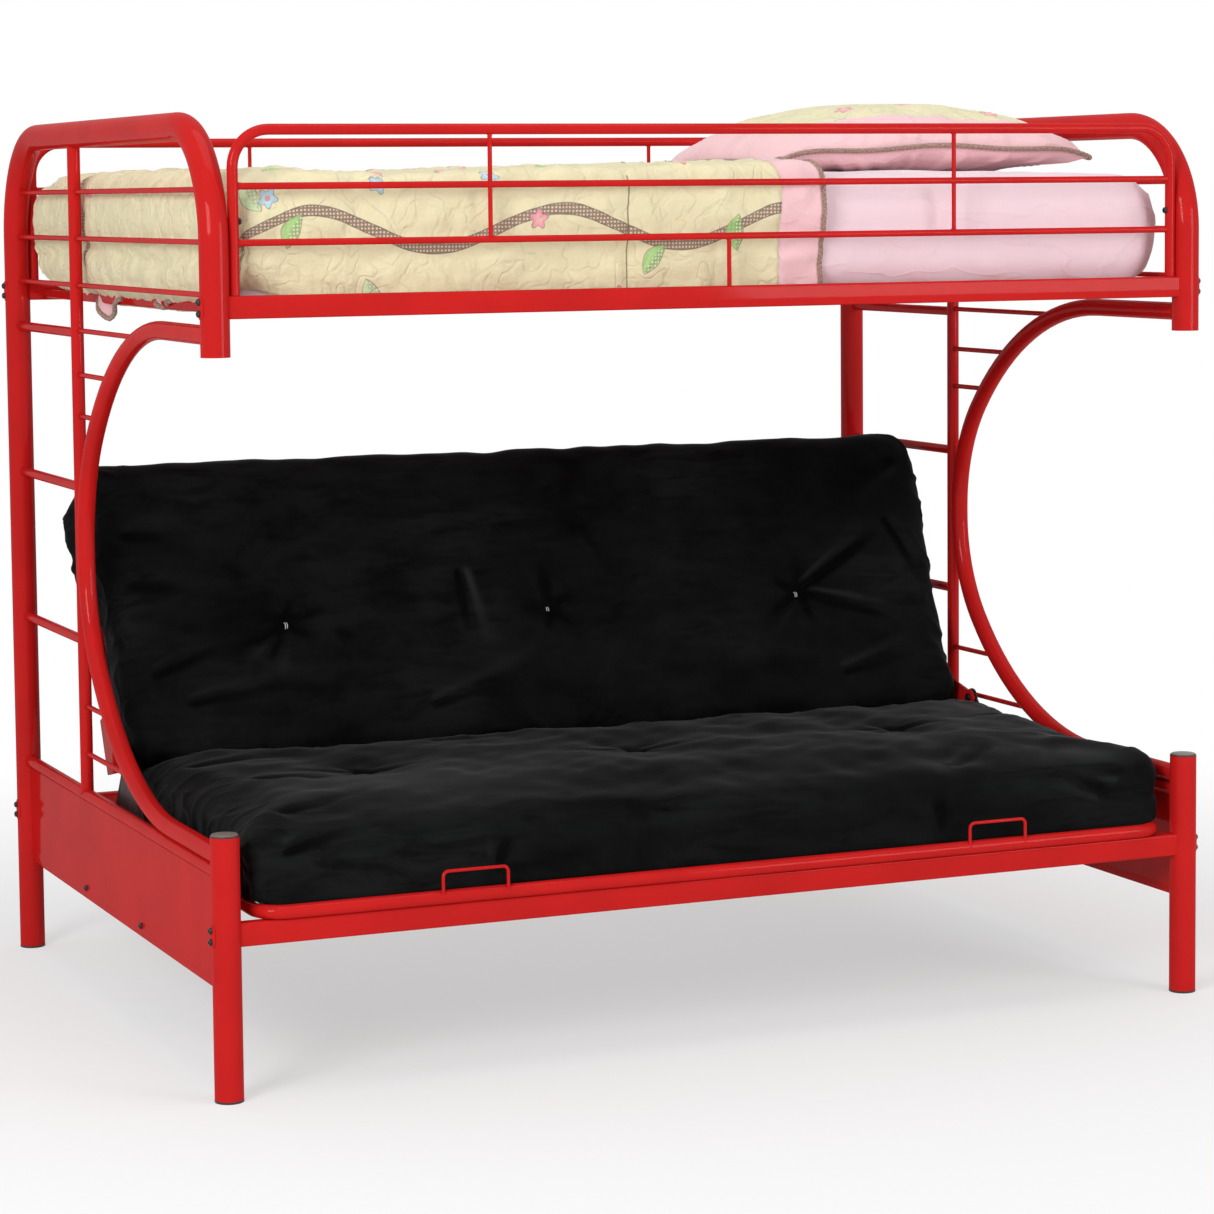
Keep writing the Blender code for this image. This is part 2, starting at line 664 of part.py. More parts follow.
def long_pieces(y, label):
    """Side rail, base rail and guard rail on one long side."""
    inward = 1 if y < 0 else -1
    low_y, high_y = y - rail_half, y + rail_half
    post_rooms = [bar((s * half_x, y, 0.0), (s * half_x, y, side_rail_top_z + post_radius),
                      post_radius + fitting_gap, post_sides) for s in (-1, 1)]
    rooms = tool("post room at the rails " + label, post_rooms)

    side_rail = piece("side_rail_" + label, [rectangular_tube(
        (-half_x, low_y, side_rail_bottom_z), (half_x, high_y, side_rail_top_z), rail_wall)], RED)
    lip_y = sorted((y + inward * (rail_half - overlap), y + inward * (rail_half + rail_lip_width)))
    lip = box((-deck_end_x, lip_y[0], side_rail_bottom_z + fitting_gap),
              (deck_end_x, lip_y[1], side_rail_bottom_z + fitting_gap + rail_lip_thickness))
    weld(side_rail, tool("side rail lip " + label, [lip]))
    cut(side_rail, rooms)

    base_rail = piece("base_rail_" + label, [rectangular_tube(
        (-half_x, low_y, base_rail_bottom_z), (half_x, high_y, base_rail_top_z), rail_wall)], RED)
    cut(base_rail, rooms)

    foot_z = side_rail_top_z + fitting_gap
    corners = [(-guard_x, y, foot_z), (-guard_x, y, guard_top_z)]
    corners += [(guard_x, y, guard_top_z), (guard_x, y, foot_z)]
    line = rounded(corners, guard_bend_radius, 6)
    guard = piece("guard_rail_" + label, [sweep(line, guard_tube_radius, bar_sides)], RED, True)
    bars = [bar((-guard_x, y, z), (guard_x, y, z), guard_bar_radius) for z in guard_bar_heights]
    uprights = [bar((x, y, guard_top_z), (x, y, guard_bar_heights[0]), guard_upright_radius)
                for x in (-guard_upright_share * guard_x, guard_upright_share * guard_x)]
    uprights.append(bar((0.0, y, guard_bar_heights[0]), (0.0, y, foot_z), guard_upright_radius))
    weld(guard, tool("guard bars " + label, bars), tool("guard uprights " + label, uprights))
    holes = [bar((s * (guard_x - 2 * guard_tube_radius), y, guard_bolt_z), (s * half_x, y, guard_bolt_z),
                 guard_bolt_radius + fitting_gap) for s in (-1, 1)]
    cut(guard, tool("guard bolt holes " + label, holes))


def upper_deck():
    """Slats across the bunk, welded to two long runners."""
    low_z = deck_bottom_z
    high_z = low_z + slat_height
    end_y = half_y - rail_half - fitting_gap
    inset = overlap / 2
    runner_y = runner_share * half_y
    runners = [box((-deck_end_x + inset, y - slat_height / 2, low_z + inset),
                   (deck_end_x - inset, y + slat_height / 2, high_z - inset)) for y in (-runner_y, runner_y)]
    slats = []
    for i in range(slat_count):
        x = -deck_end_x + slat_width / 2 + i * (2 * deck_end_x - slat_width) / (slat_count - 1)
        slats.append(box((x - slat_width / 2, -end_y, low_z), (x + slat_width / 2, end_y, high_z)))
    deck = piece("upper_deck", slats, RED)
    weld(deck, tool("deck runners", runners))


def sofa_frame(name, cross_y, far_y):
    """Bent tube on three sides, a cross tube and flat slats."""
    z = sofa_tube_z
    end_y = cross_y + (cross_tube_radius if cross_y > far_y else -cross_tube_radius)
    line = rounded([(-sofa_side_x, end_y, z), (-sofa_side_x, far_y, z), (sofa_side_x, far_y, z),
                    (sofa_side_x, end_y, z)], sofa_corner_radius, 5)
    frame = piece(name, [sweep(line, frame_tube_radius, tube_sides)], RED, True)
    cross = bar((-sofa_side_x, cross_y, z), (sofa_side_x, cross_y, z), cross_tube_radius, tube_sides)
    weld(frame, tool(name + " cross tube", [cross]))
    slats = []
    half_width = sofa_slat_width / 2
    half_thick = sofa_slat_thickness / 2
    low_y, high_y = sorted((cross_y, far_y))
    for i in range(1, sofa_slat_count + 1):
        x = -sofa_side_x + i * 2 * sofa_side_x / (sofa_slat_count + 1)
        slats.append(box((x - half_width, low_y, z - half_thick), (x + half_width, high_y, z + half_thick)))
    weld(frame, tool(name + " slats", slats))
    return frame


def seat_frame():
    """Seat frame with two wire retainers at the front and one at each side."""
    frame = sofa_frame("seat_frame", seat_rear_y, seat_front_y)
    z = sofa_tube_z
    loops = []
    for low_x, high_x in retainer_spans_x:
        corners = [(low_x, retainer_y, z), (low_x, retainer_y, retainer_top_z)]
        corners += [(high_x, retainer_y, retainer_top_z), (high_x, retainer_y, z)]
        loops.append(sweep(rounded(corners, retainer_bend_radius, 3), retainer_radius, thin_sides))
    low_y, high_y = side_retainer_span_y
    for side in (-1, 1):
        x = side * (sofa_side_x + frame_tube_radius - retainer_radius)
        corners = [(x, low_y, z), (x, low_y, retainer_top_z), (x, high_y, retainer_top_z), (x, high_y, z)]
        loops.append(sweep(rounded(corners, retainer_bend_radius, 3), retainer_radius, thin_sides))
    weld(frame, tool("wire retainers", loops))


def reclined(made):
    """Put a piece that is built lying flat into the sofa position, with its origin on the hinge."""
    turn = Matrix.Rotation(recline_angle, 4, "X")
    made.data.transform(turn @ Matrix.Translation(-pivot))
    made.location = pivot


def back_frame():
    """Back frame with a hinge plate on each side."""
    frame = sofa_frame("back_frame", back_start_y, back_end_y)
    low_z = sofa_tube_z - frame_tube_radius + fitting_gap
    high_z = sofa_tube_z + frame_tube_radius - fitting_gap
    reach = hinge_plate_reach
    plates = []
    for side in (-1, 1):
        low_x, high_x = sorted(side * v for v in hinge_plate_x)
        outline = around((hinge_y, hinge_z), hinge_ear_radius, pi, 0.0, 6)
        outline += [(back_start_y + reach, high_z), (back_start_y + reach, low_z)]
        outline += [(back_start_y - frame_tube_radius, low_z)]
        plates.append(plate(outline, low_x, high_x))
    weld(frame, tool("hinge plates", plates))
    hole_radius = pivot_radius + pivot_clearance
    holes = [bar((s * (hinge_plate_x[0] - pivot_radius), hinge_y, hinge_z),
                 (s * (hinge_plate_x[1] + pivot_radius), hinge_y, hinge_z), hole_radius, 2 * tube_sides)
             for s in (-1, 1)]
    cut(frame, tool("hinge plate holes", holes))
    for helper in tools.objects:
        if helper.name.startswith(("back_frame", "hinge plate")):
            reclined(helper)
    reclined(frame)


def spread(low, high, edge, inner_count):
    """Grid positions from low to high, closer together near both ends."""
    near = [share * edge for share in edge_step_shares]
    inner = [low + edge + (high - low - 2 * edge) * i / (inner_count + 1) for i in range(1, inner_count + 1)]
    return [low + n for n in near] + inner + [high - n for n in reversed(near)]


def padded(low, high, edge, crown, corner, tufts, counts):
    """Closed padded slab: crowned top, rounded edges, bulging sides and tuft dimples."""
    xs = spread(low[0], high[0], edge, counts[0])
    ys = spread(low[1], high[1], edge, counts[1])
    mid_x, mid_y = (low[0] + high[0]) / 2, (low[1] + high[1]) / 2
    size_x, size_y = (high[0] - low[0]) / 2, (high[1] - low[1]) / 2
    points = []

    def place(x, y, z):
        u, v = (x - mid_x) / size_x, (y - mid_y) / size_y
        near_x = max(0.0, (abs(v) * size_y - (size_y - corner)) / corner)
        near_y = max(0.0, (abs(u) * size_x - (size_x - corner)) / corner)
        return (x - (corner * corner_pull_share * near_x ** 2) * u * abs(u) ** 7,
                y - (corner * corner_pull_share * near_y ** 2) * v * abs(v) ** 7, z)

    def drop(x, y, depth):
        inside = min(x - low[0], high[0] - x, y - low[1], high[1] - y)
        lack = max(0.0, 1.0 - inside / depth)
        return depth * (1.0 - sqrt(max(0.0, 1.0 - lack * lack)))

    def height(x, y):
        u, v = (x - mid_x) / size_x, (y - mid_y) / size_y
        z = high[2] - drop(x, y, edge) + crown * (1 - u ** 4) * (1 - v ** 2)
        for tuft_x, tuft_y, depth, reach in tufts:
            z -= depth * exp(-((x - tuft_x) ** 2 + (y - tuft_y) ** 2) / reach ** 2)
        return z

    nx, ny = len(xs), len(ys)
    for y in ys:
        for x in xs:
            points.append(place(x, y, height(x, y)))
    for y in ys:
        for x in xs:
            points.append(place(x, y, low[2] + drop(x, y, edge * lower_edge_share)))
    faces = []
    under = nx * ny
    for j in range(ny - 1):
        for i in range(nx - 1):
            a = j * nx + i
            faces.append((a, a + 1, a + nx + 1, a + nx))
            faces.append((under + a, under + a + nx, under + a + nx + 1, under + a + 1))
    rim = [i for i in range(nx)] + [j * nx + nx - 1 for j in range(1, ny)]
    rim += [(ny - 1) * nx + i for i in range(nx - 2, -1, -1)] + [j * nx for j in range(ny - 2, 0, -1)]
    for i, j in zip(rim, rim[1:] + rim[:1]):
        faces.append((j, i, under + i, under + j))
    return points, faces


def sofa_padding():
    """Seat half and back half of the tufted mattress, which meet along the hinge line."""
    seat_end_y = hinge_y - pad_fold_gap
    seat_tuft_y = seat_pad_front_y + seat_tuft_share * (hinge_y - seat_pad_front_y)
    seat_low = (-sofa_pad_half_length, seat_pad_front_y, sofa_pad_bottom_z)
    seat_high = (sofa_pad_half_length, seat_end_y, sofa_pad_top_z)
    tufts_x = [share * sofa_pad_half_length for share in tuft_x_shares]
    seat_tufts = [(x, seat_tuft_y, tuft_depth, tuft_reach) for x in tufts_x]
    seat = padded(seat_low, seat_high, pad_edge, pad_crown, pad_corner, seat_tufts, (16, 8))
    piece("sofa_seat_pad", [seat], SUEDE, True)
    back_tuft_y = hinge_y + back_tuft_share * (back_pad_end_y - hinge_y)
    back_low = (-sofa_pad_half_length, hinge_y + pad_fold_gap, sofa_pad_bottom_z)
    back_high = (sofa_pad_half_length, back_pad_end_y, sofa_pad_top_z)
    back_tufts = [(x, back_tuft_y, tuft_depth, tuft_reach) for x in tufts_x]
    back = padded(back_low, back_high, pad_edge, pad_crown, pad_corner, back_tufts, (16, 8))
    reclined(piece("sofa_back_pad", [back], SUEDE, True))


def bedding():
    """Mattress in its fitted sheet, quilt with three hanging sides, and pillow."""
    low = (-mattress_half_length, -mattress_half_width, mattress_bottom_z)
    high = (mattress_half_length, mattress_half_width, mattress_top_z)
    mattress = padded(low, high, mattress_edge, mattress_crown, mattress_corner, [], (6, 4))
    piece("upper_mattress", [mattress], PINK, True)

    points, faces = hanging_cover()
    quilt = piece("quilt", [(points, faces)], CREAM, True)
    thicken = quilt.modifiers.new("quilt filling", "SOLIDIFY")
    thicken.thickness = quilt_thickness
    thicken.offset = -1.0

    piece("pillow", [pillow_shape()], CREAM, True)


def hanging_cover():
    """Outer surface of the quilt: crowned top and skirts at the front, the left end and the back."""
    left = -mattress_half_length - quilt_clearance - quilt_thickness
    front = -mattress_half_width - quilt_clearance - quilt_thickness
    top = mattress_top_z + quilt_lift + quilt_thickness
    edge = quilt_edge
    step = quilt_edge_step_share * edge
    xs = [left, left + step, left + edge]
    xs += [left + edge + (quilt_right_x - left - edge) * i / 12 for i in range(1, 13)]
    ys = [front, front + step, front + edge]
    ys += [front + edge + (-2 * (front + edge)) * i / 9 for i in range(1, 9)]
    ys += [-front - edge, -front - step, -front]
    nx, ny = len(xs), len(ys)
    points = []
    for j, y in enumerate(ys):
        for i, x in enumerate(xs):
            inside = min(x - left, y - front, -front - y)
            lack = max(0.0, 1.0 - inside / edge)
            sag = edge * (1.0 - sqrt(max(0.0, 1.0 - lack * lack)))
            along = sin(2 * pi * (x + quilt_ripple_lean_share * y) / quilt_ripple_length)
            across = sin(2 * pi * (y + quilt_ripple_lean_share * x) / quilt_ripple_width)
            ripple = quilt_ripple * along * across
            points.append((x, y, top - sag + (ripple if inside > edge / 2 else 0.0)))
    faces = [(j * nx + i, j * nx + i + 1, (j + 1) * nx + i + 1, (j + 1) * nx + i)
             for j in range(ny - 1) for i in range(nx - 1)]
    rim = [i for i in range(nx - 1, -1, -1)] + [j * nx for j in range(1, ny)]
    rim += [(ny - 1) * nx + i for i in range(1, nx)]
    rows = 4
    previous = rim
    for row in range(1, rows + 1):
        current = []
        for k, index in enumerate(rim):
            x, y, z = points[index]
            at_front = y < front + edge / 4
            at_back = y > -front - edge / 4
            at_left = x < left + edge / 4
            hem = quilt_end_hem_z if at_left and not (at_front or at_back) else quilt_side_hem_z
            share = row / rows
            swing = quilt_fold * sin(quilt_fold_turn * k) * share
            shift_y = swing if at_back else -swing if at_front else 0.0
            shift_x = -swing if at_left else 0.0
            current.append(len(points))
            points.append((x + shift_x, y + shift_y, z + (hem - z) * share))
        for a, b, c, d in zip(previous, previous[1:], current[1:], current):
            faces.append((a, b, c, d))
        previous = current
    return points, faces


def pillow_shape():
    """Pillow with drawn-in edges and a flat flange all round."""
    size_x, size_y = pillow_size
    centre_x = pillow_centre_shares[0] * mattress_half_length
    centre_y = pillow_centre_shares[1] * mattress_half_width
    columns, rows = 14, 10
    points = []
    for sign in (1, -1):
        for j in range(rows + 1):
            for i in range(columns + 1):
                u, v = 2 * i / columns - 1, 2 * j / rows - 1
                if sign < 0 and (abs(u) == 1 or abs(v) == 1):
                    continue
                fill = max(0.0, (1 - abs(u) ** 3.0) * (1 - abs(v) ** 3.0)) ** 0.55
                pull = (1 - u * u) * abs(v) ** 4 + (1 - v * v) * abs(u) ** 4
                pinch = 1 - pillow_pinch_share * pull
                x = size_x / 2 * u * pinch
                y = size_y / 2 * v * pinch
                z = (pillow_rise if sign > 0 else -pillow_sink) * fill
                points.append((centre_x + x, centre_y + y, pillow_seam_z + z))
    across = columns + 1
    upper = {}
    lower = {}
    index = 0
    for sign in (1, -1):
        for j in range(rows + 1):
            for i in range(across):
                on_rim = i in (0, columns) or j in (0, rows)
                if sign > 0:
                    upper[i, j] = index
                    index += 1
                elif not on_rim:
                    lower[i, j] = index
                    index += 1
    faces = []
    for j in range(rows):
        for i in range(columns):
            ring = [(i, j), (i + 1, j), (i + 1, j + 1), (i, j + 1)]
            faces.append(tuple(upper[c] for c in ring))
            faces.append(tuple(lower.get(c, upper[c]) for c in reversed(ring)))
    return points, faces


for side, label in ((-1, "left"), (1, "right")):
    end_frame(side, label)
long_pieces(front_y, "front")
long_pieces(back_y, "back")
upper_deck()
seat_frame()
back_frame()
sofa_padding()
bedding()
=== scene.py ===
"""Finishes of the red bunk bed with the folding sofa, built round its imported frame.

Metres, +Z up. X runs along the bed, Y from front to back, and the floor is Z = 0.
"""

from math import atan2, cos, pi, radians, sin, sqrt, tan

import bmesh
import bpy
import numpy as np
from bpy.props import FloatProperty, FloatVectorProperty, IntProperty, PointerProperty
from mathutils import Matrix, Vector


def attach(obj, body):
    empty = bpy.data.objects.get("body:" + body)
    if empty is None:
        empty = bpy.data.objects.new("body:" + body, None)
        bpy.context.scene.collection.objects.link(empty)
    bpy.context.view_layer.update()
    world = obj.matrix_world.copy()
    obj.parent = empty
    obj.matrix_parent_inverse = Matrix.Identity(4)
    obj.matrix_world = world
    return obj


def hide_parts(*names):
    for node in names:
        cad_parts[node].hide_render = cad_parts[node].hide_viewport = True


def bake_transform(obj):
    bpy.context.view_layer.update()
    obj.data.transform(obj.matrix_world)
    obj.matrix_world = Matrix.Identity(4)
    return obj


bl_info = {
    "name": "Bunk bed with folding sofa",
    "version": (1, 0, 0),
    "blender": (4, 5, 0),
    "location": "View3D > Sidebar > Bunk bed",
    "description": "Builds the finished pieces of a steel bunk bed over a folding sofa",
    "category": "Object",
}

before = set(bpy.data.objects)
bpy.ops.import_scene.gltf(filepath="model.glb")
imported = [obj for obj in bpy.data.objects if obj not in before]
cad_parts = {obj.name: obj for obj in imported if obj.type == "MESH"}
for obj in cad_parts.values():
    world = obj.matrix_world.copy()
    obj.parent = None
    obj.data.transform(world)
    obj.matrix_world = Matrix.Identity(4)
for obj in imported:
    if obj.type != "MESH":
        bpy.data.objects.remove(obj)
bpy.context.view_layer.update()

# Sizes shared with the frame
half_x = 0.965
front_y = -0.6925
back_y = 0.6925
post_radius = 0.0255
post_wall = 0.0015
foot_thickness = 0.004
hoop_top_z = 1.679
hoop_bend_radius = 0.200
stub_bottom_z = 1.285
front_post_top_z = 0.463
arc_radius = 0.017
arc_reach = 0.882
arc_top_z = 1.321
arc_bottom_z = 0.4237
arc_tight_radius = 0.335
arc_middle_length = 0.015
arc_tight_angle = radians(40.7)
mid_post_radius = 0.0125
mid_post_y = front_y + arc_reach + arc_radius + mid_post_radius
rung_radius = 0.0095
rung_heights = (0.6975, 0.9975, 1.2975)
rod_radius = 0.005
long_rod_heights = (1.390, 1.4798, 1.5696)
short_rod_heights = (0.4765, 0.570, 1.1366, 1.2168, 1.3025)
panel_tube_z = 0.3935
panel_tube_radius = 0.0125
panel_bottom_z = 0.184
panel_hem_top_z = 0.205
rail_half = 0.0127
side_rail_z = (1.3496, 1.3888)
base_rail_z = (0.2700, 0.3117)
rail_lip_width = 0.014
rail_lip_thickness = 0.0035
guard_x = 0.9297
guard_radius = 0.0095
guard_top_z = 1.6705
guard_bend_radius = 0.065
guard_bar_radius = 0.006
guard_bar_heights = (1.4785, 1.5745)
guard_upright_radius = 0.004
guard_upright_x = 0.461
guard_bolt_z = 1.515
deck_end_x = 0.915
sofa_side_x = 0.905
sofa_tube_z = 0.3245
sofa_tube_radius = 0.0125
sofa_corner_radius = 0.050
cross_tube_radius = 0.0095
seat_front_y = -0.705
seat_rear_y = 0.035
back_start_y = 0.100
back_end_y = 0.690
sofa_slat_count = 11
hinge = Vector((0.0, 0.065, 0.480))
recline_angle = radians(64.3)
retainer_y = -0.7145
retainer_radius = 0.003
retainer_top_z = 0.372
retainer_spans_x = ((-0.574, -0.451), (0.482, 0.601))
side_retainer_span_y = (-0.420, -0.300)
bracket_bolts_y = (-0.159, 0.234)
bracket_bolts_z = 0.2055
mattress_half_length = 0.924
mattress_half_width = 0.6515
mattress_bottom_z = 1.3725
mattress_top_z = 1.580

# What repeats at both ends and both long sides
post_bore = post_radius - post_wall
post_inset = post_radius - 2 * post_wall
ends = ((-1, "left"), (1, "right"))
long_sides = ((front_y, "front"), (back_y, "back"))
levels = ("low", "mid", "high")
all_smooth = 180.0


class BedSizes(bpy.types.PropertyGroup):
    """Sizes of the finished bed that can be changed without a new frame."""

    weld_bead: FloatProperty(name="Weld bead", description="Radius of the drops in a weld bead",
                             default=0.0016, unit="LENGTH")
    bolt_head: FloatProperty(name="Bolt head", description="Radius of the button heads", default=0.0062,
                             unit="LENGTH")
    tube_sides: IntProperty(name="Tube sides", description="Flats round the widest tubes", default=40, min=8)
    deck_slats: IntProperty(name="Deck slats", description="Slats across the upper bunk", default=12, min=2)
    pad_thickness: FloatProperty(name="Sofa mattress", description="Thickness of the sofa mattress",
                                 default=0.1425, unit="LENGTH")
    tuft_depth: FloatProperty(name="Tuft depth", description="How far a tuft is drawn in", default=0.034,
                              unit="LENGTH")
    quilt_thickness: FloatProperty(name="Quilt thickness", description="Thickness of the filled quilt",
                                   default=0.005, unit="LENGTH")
    pillow_rise: FloatProperty(name="Pillow rise", description="Height of the pillow above its seam",
                               default=0.105, unit="LENGTH")


class BedColours(bpy.types.PropertyGroup):
    """Colours of the finished bed, as linear values."""

    paint: FloatVectorProperty(name="Paint", description="Gloss paint of the steel", subtype="COLOR",
                               default=(0.535, 0.0125, 0.0115))
    steel: FloatVectorProperty(name="Bolts", description="Blackened bolts and brackets", subtype="COLOR",
                               default=(0.020, 0.020, 0.022))
    cap: FloatVectorProperty(name="Post caps", description="Plastic caps of the lower posts", subtype="COLOR",
                             default=(0.170, 0.140, 0.115))
    suede: FloatVectorProperty(name="Sofa cloth", description="Napped cloth of the sofa mattress",
                               subtype="COLOR", default=(0.0025, 0.0027, 0.0027))
    pink: FloatVectorProperty(name="Pink cotton", description="Fitted sheet and borders", subtype="COLOR",
                              default=(0.890, 0.690, 0.750))
    cream: FloatVectorProperty(name="Cream cotton", description="Quilt and pillow top", subtype="COLOR",
                               default=(0.830, 0.775, 0.500))
    braid: FloatVectorProperty(name="Braid", description="Brown trim along the seams", subtype="COLOR",
                               default=(0.230, 0.150, 0.120))


# Materials


def add_node(tree, kind, inputs=(), out=0, **settings):
    """Add a node to a tree, set or link its inputs, and return one of its outputs."""
    made = tree.nodes.new(kind)
    for key, value in settings.items():
        setattr(made, key, value)
    for key, value in dict(inputs).items():
        put(tree, made.inputs[key], value)
    return made.outputs[out]


def put(tree, socket, value):
    """Link a socket, or set it to a plain value."""
    if isinstance(value, bpy.types.NodeSocket):
        tree.links.new(value, socket)
    elif isinstance(value, (tuple, list)) and socket.type == "RGBA" and len(value) == 3:
        socket.default_value = (*value, 1.0)
    else:
        socket.default_value = value


class Graph:
    """Short way to write the node graph of a material."""

    def __init__(self, name):
        self.material = bpy.data.materials.new(name)
        self.material.use_nodes = True
        self.tree = self.material.node_tree
        self.shader = self.tree.nodes["Principled BSDF"]

    def node(self, kind, inputs=(), out=0, **settings):
        """Output of a new node."""
        return add_node(self.tree, kind, inputs, out, **settings)

    def math(self, operation, *values):
        """Math node."""
        return self.node("ShaderNodeMath", dict(enumerate(values)), operation=operation)

    def times(self, first, second):
        """Product of two values."""
        return self.math("MULTIPLY", first, second)

    def gap(self, first, second):
        """Distance between two values."""
        return self.math("ABSOLUTE", self.math("SUBTRACT", first, second))

    def under(self, value, limit):
        """One where a value is below a limit, and zero elsewhere."""
        return self.math("LESS_THAN", value, limit)

    def vector(self, operation, *values):
        """Vector math node."""
        return self.node("ShaderNodeVectorMath", dict(enumerate(values)), operation=operation)

    def place(self, scale=(1.0, 1.0, 1.0), source="Object", turn=(0.0, 0.0, 0.0)):
        """Scaled object or UV coordinates."""
        where = self.node("ShaderNodeTexCoord", out=source)
        return self.node("ShaderNodeMapping", {"Vector": where, "Scale": scale, "Rotation": turn})

    def noise(self, where, scale, detail=3.0, roughness=0.5, distortion=0.0, out=0):
        """Noise from 0 to 1."""
        return self.node("ShaderNodeTexNoise", {"Vector": where, "Scale": scale, "Detail": detail,
                                                "Roughness": roughness, "Distortion": distortion}, out)

    def ramp(self, value, low, high, start=0.0, end=1.0):
        """Smooth change from low to high as value goes from start to end."""
        limits = {"Value": value, "From Min": start, "From Max": end, "To Min": low, "To Max": high}
        return self.node("ShaderNodeMapRange", limits, interpolation_type="SMOOTHSTEP")

    def mix(self, share, first, second):
        """Mix of two colours."""
        return self.node("ShaderNodeMix", {0: share, 6: first, 7: second}, 2, data_type="RGBA")

    def bump(self, height, distance, strength=1.0, below=None):
        """Bump node, on top of another one if it is given."""
        inputs = {"Height": height, "Distance": distance, "Strength": strength}
        if below is not None:
            inputs["Normal"] = below
        return self.node("ShaderNodeBump", inputs)

    def finish(self, **inputs):
        """Set the shader's sockets, named with underscores for spaces."""
        for key, value in inputs.items():
            put(self.tree, self.shader.inputs[key.replace("_", " ")], value)
        return self.material


def shade(colour, factor):
    """Colour made lighter or darker."""
    return tuple(min(1.0, c * factor) for c in colour)


def gloss_paint(colour):
    """Powder-coated gloss paint: faint orange peel, slight unevenness and duller dusty areas."""
    g = Graph("Gloss red paint")
    where = g.place()
    patches = g.noise(where, 6.0, 4.0)
    dust = g.ramp(g.noise(where, 22.0, 6.0, 0.62), 0.0, 1.0, 0.55, 0.75)
    base = g.mix(g.ramp(patches, 0.0, 1.0, 0.35, 0.65), shade(colour, 0.95), shade(colour, 1.05))
    base = g.mix(g.times(dust, 0.03), base, (0.62, 0.05, 0.05))
    peel = g.bump(g.noise(where, 320.0, 2.0), 0.00008, 0.4)
    normal = g.bump(g.noise(where, 45.0, 2.0), 0.0006, 0.2, peel)
    rough = g.ramp(g.math("ADD", g.times(patches, 0.6), g.times(dust, 0.4)), 0.25, 0.40)
    return g.finish(Base_Color=base, Roughness=rough, Normal=normal, Specular_IOR_Level=0.0, Coat_Weight=0.16,
                    Coat_Roughness=0.07)


def dark_steel(colour):
    """Blackened steel with worn spots."""
    g = Graph("Blackened steel")
    where = g.place()
    worn = g.ramp(g.noise(where, 240.0, 5.0, 0.6), 0.0, 1.0, 0.52, 0.72)
    base = g.mix(worn, colour, (0.070, 0.068, 0.070))
    rough = g.ramp(g.noise(where, 90.0, 3.0), 0.28, 0.50)
    return g.finish(Base_Color=base, Roughness=rough, Metallic=0.6,
                    Normal=g.bump(g.noise(where, 500.0, 2.0), 0.0001, 0.4))


def moulded_plastic(name, colour):
    """Moulded plastic with a fine grain."""
    g = Graph(name)
    where = g.place()
    base = g.mix(g.noise(where, 60.0, 4.0), shade(colour, 0.85), shade(colour, 1.2))
    grain = g.node("ShaderNodeTexVoronoi", {"Vector": where, "Scale": 1400.0})
    return g.finish(Base_Color=base, Roughness=g.ramp(g.noise(where, 30.0), 0.38, 0.55),
                    Normal=g.bump(grain, 0.0001, 0.5))


def napped_suede(colour):
    """Black suede cloth: random patches of nap tone, short nap and fine grain, with painted shade and painted
    highlights from the mattress's folds and placed patches.
    """
    g = Graph("Black suede cloth")
    where = g.place()
    pale_and_dark_patches = g.noise(g.place((1.0, 1.6, 1.6)), 5.5, 6.0, 0.62, 1.2)
    streaks = g.noise(g.place((1.5, 6.0, 6.0), turn=(0.0, 0.25, 0.5)), 5.0, 6.0, 0.68, 0.8)
    broad = g.ramp(g.noise(g.place((1.0, 1.3, 1.3)), 2.3, 2.0), 0.0, 1.0, 0.40, 0.62)
    both = g.math("ADD", g.times(pale_and_dark_patches, 0.7), g.times(streaks, 0.3))
    patches = g.ramp(both, 0.0, 1.0, 0.36, 0.64)
    base = g.mix(patches, shade(colour, 0.20), shade(colour, 2.3))
    base = g.mix(g.times(broad, g.ramp(streaks, 0.1, 1.0, 0.35, 0.65)), base, shade(colour, 3.6))
    # Painted light read from the mattress: below zero a painted shade, partly pressed nap, in crease valleys,
    # tuft hollows and darker placed patches; above zero a painted highlight, partly worn nap, on crease
    # ridges and lighter placed patches.
    fold = g.node("ShaderNodeAttribute", attribute_name="rubbed_nap_and_painted_light", out="Fac")
    base = g.mix(g.ramp(fold, 0.0, 0.95, -0.05, -0.7), base, shade(colour, 0.10))
    base = g.mix(g.ramp(fold, 0.0, 0.85, 0.08, 1.0), base, shade(colour, 10.0))
    nap = g.bump(g.noise(where, 900.0, 3.0, 0.7), 0.0005, 0.35)
    grain = g.bump(g.noise(where, 160.0, 4.0, 0.6), 0.0012, 0.28, nap)
    normal = g.bump(g.noise(g.place((1.0, 2.2, 2.2)), 26.0, 4.0, 0.6), 0.004, 0.16, grain)
    return g.finish(Base_Color=base, Roughness=g.ramp(patches, 0.70, 0.88), Normal=normal, Sheen_Weight=0.095,
                    Sheen_Roughness=0.32, Sheen_Tint=(0.62, 0.62, 0.64), Specular_IOR_Level=0.05)


def woven_bump(g):
    """Plain weave on the cloth's own coordinates: threads over and under in both directions."""
    threads_per_metre = 900.0
    along, across = split(g, g.place(source="UV"))
    over, under = (g.math("SINE", g.times(part, threads_per_metre * 2 * pi)) for part in (along, across))
    return g.bump(g.times(over, under), 0.0002, 0.3)


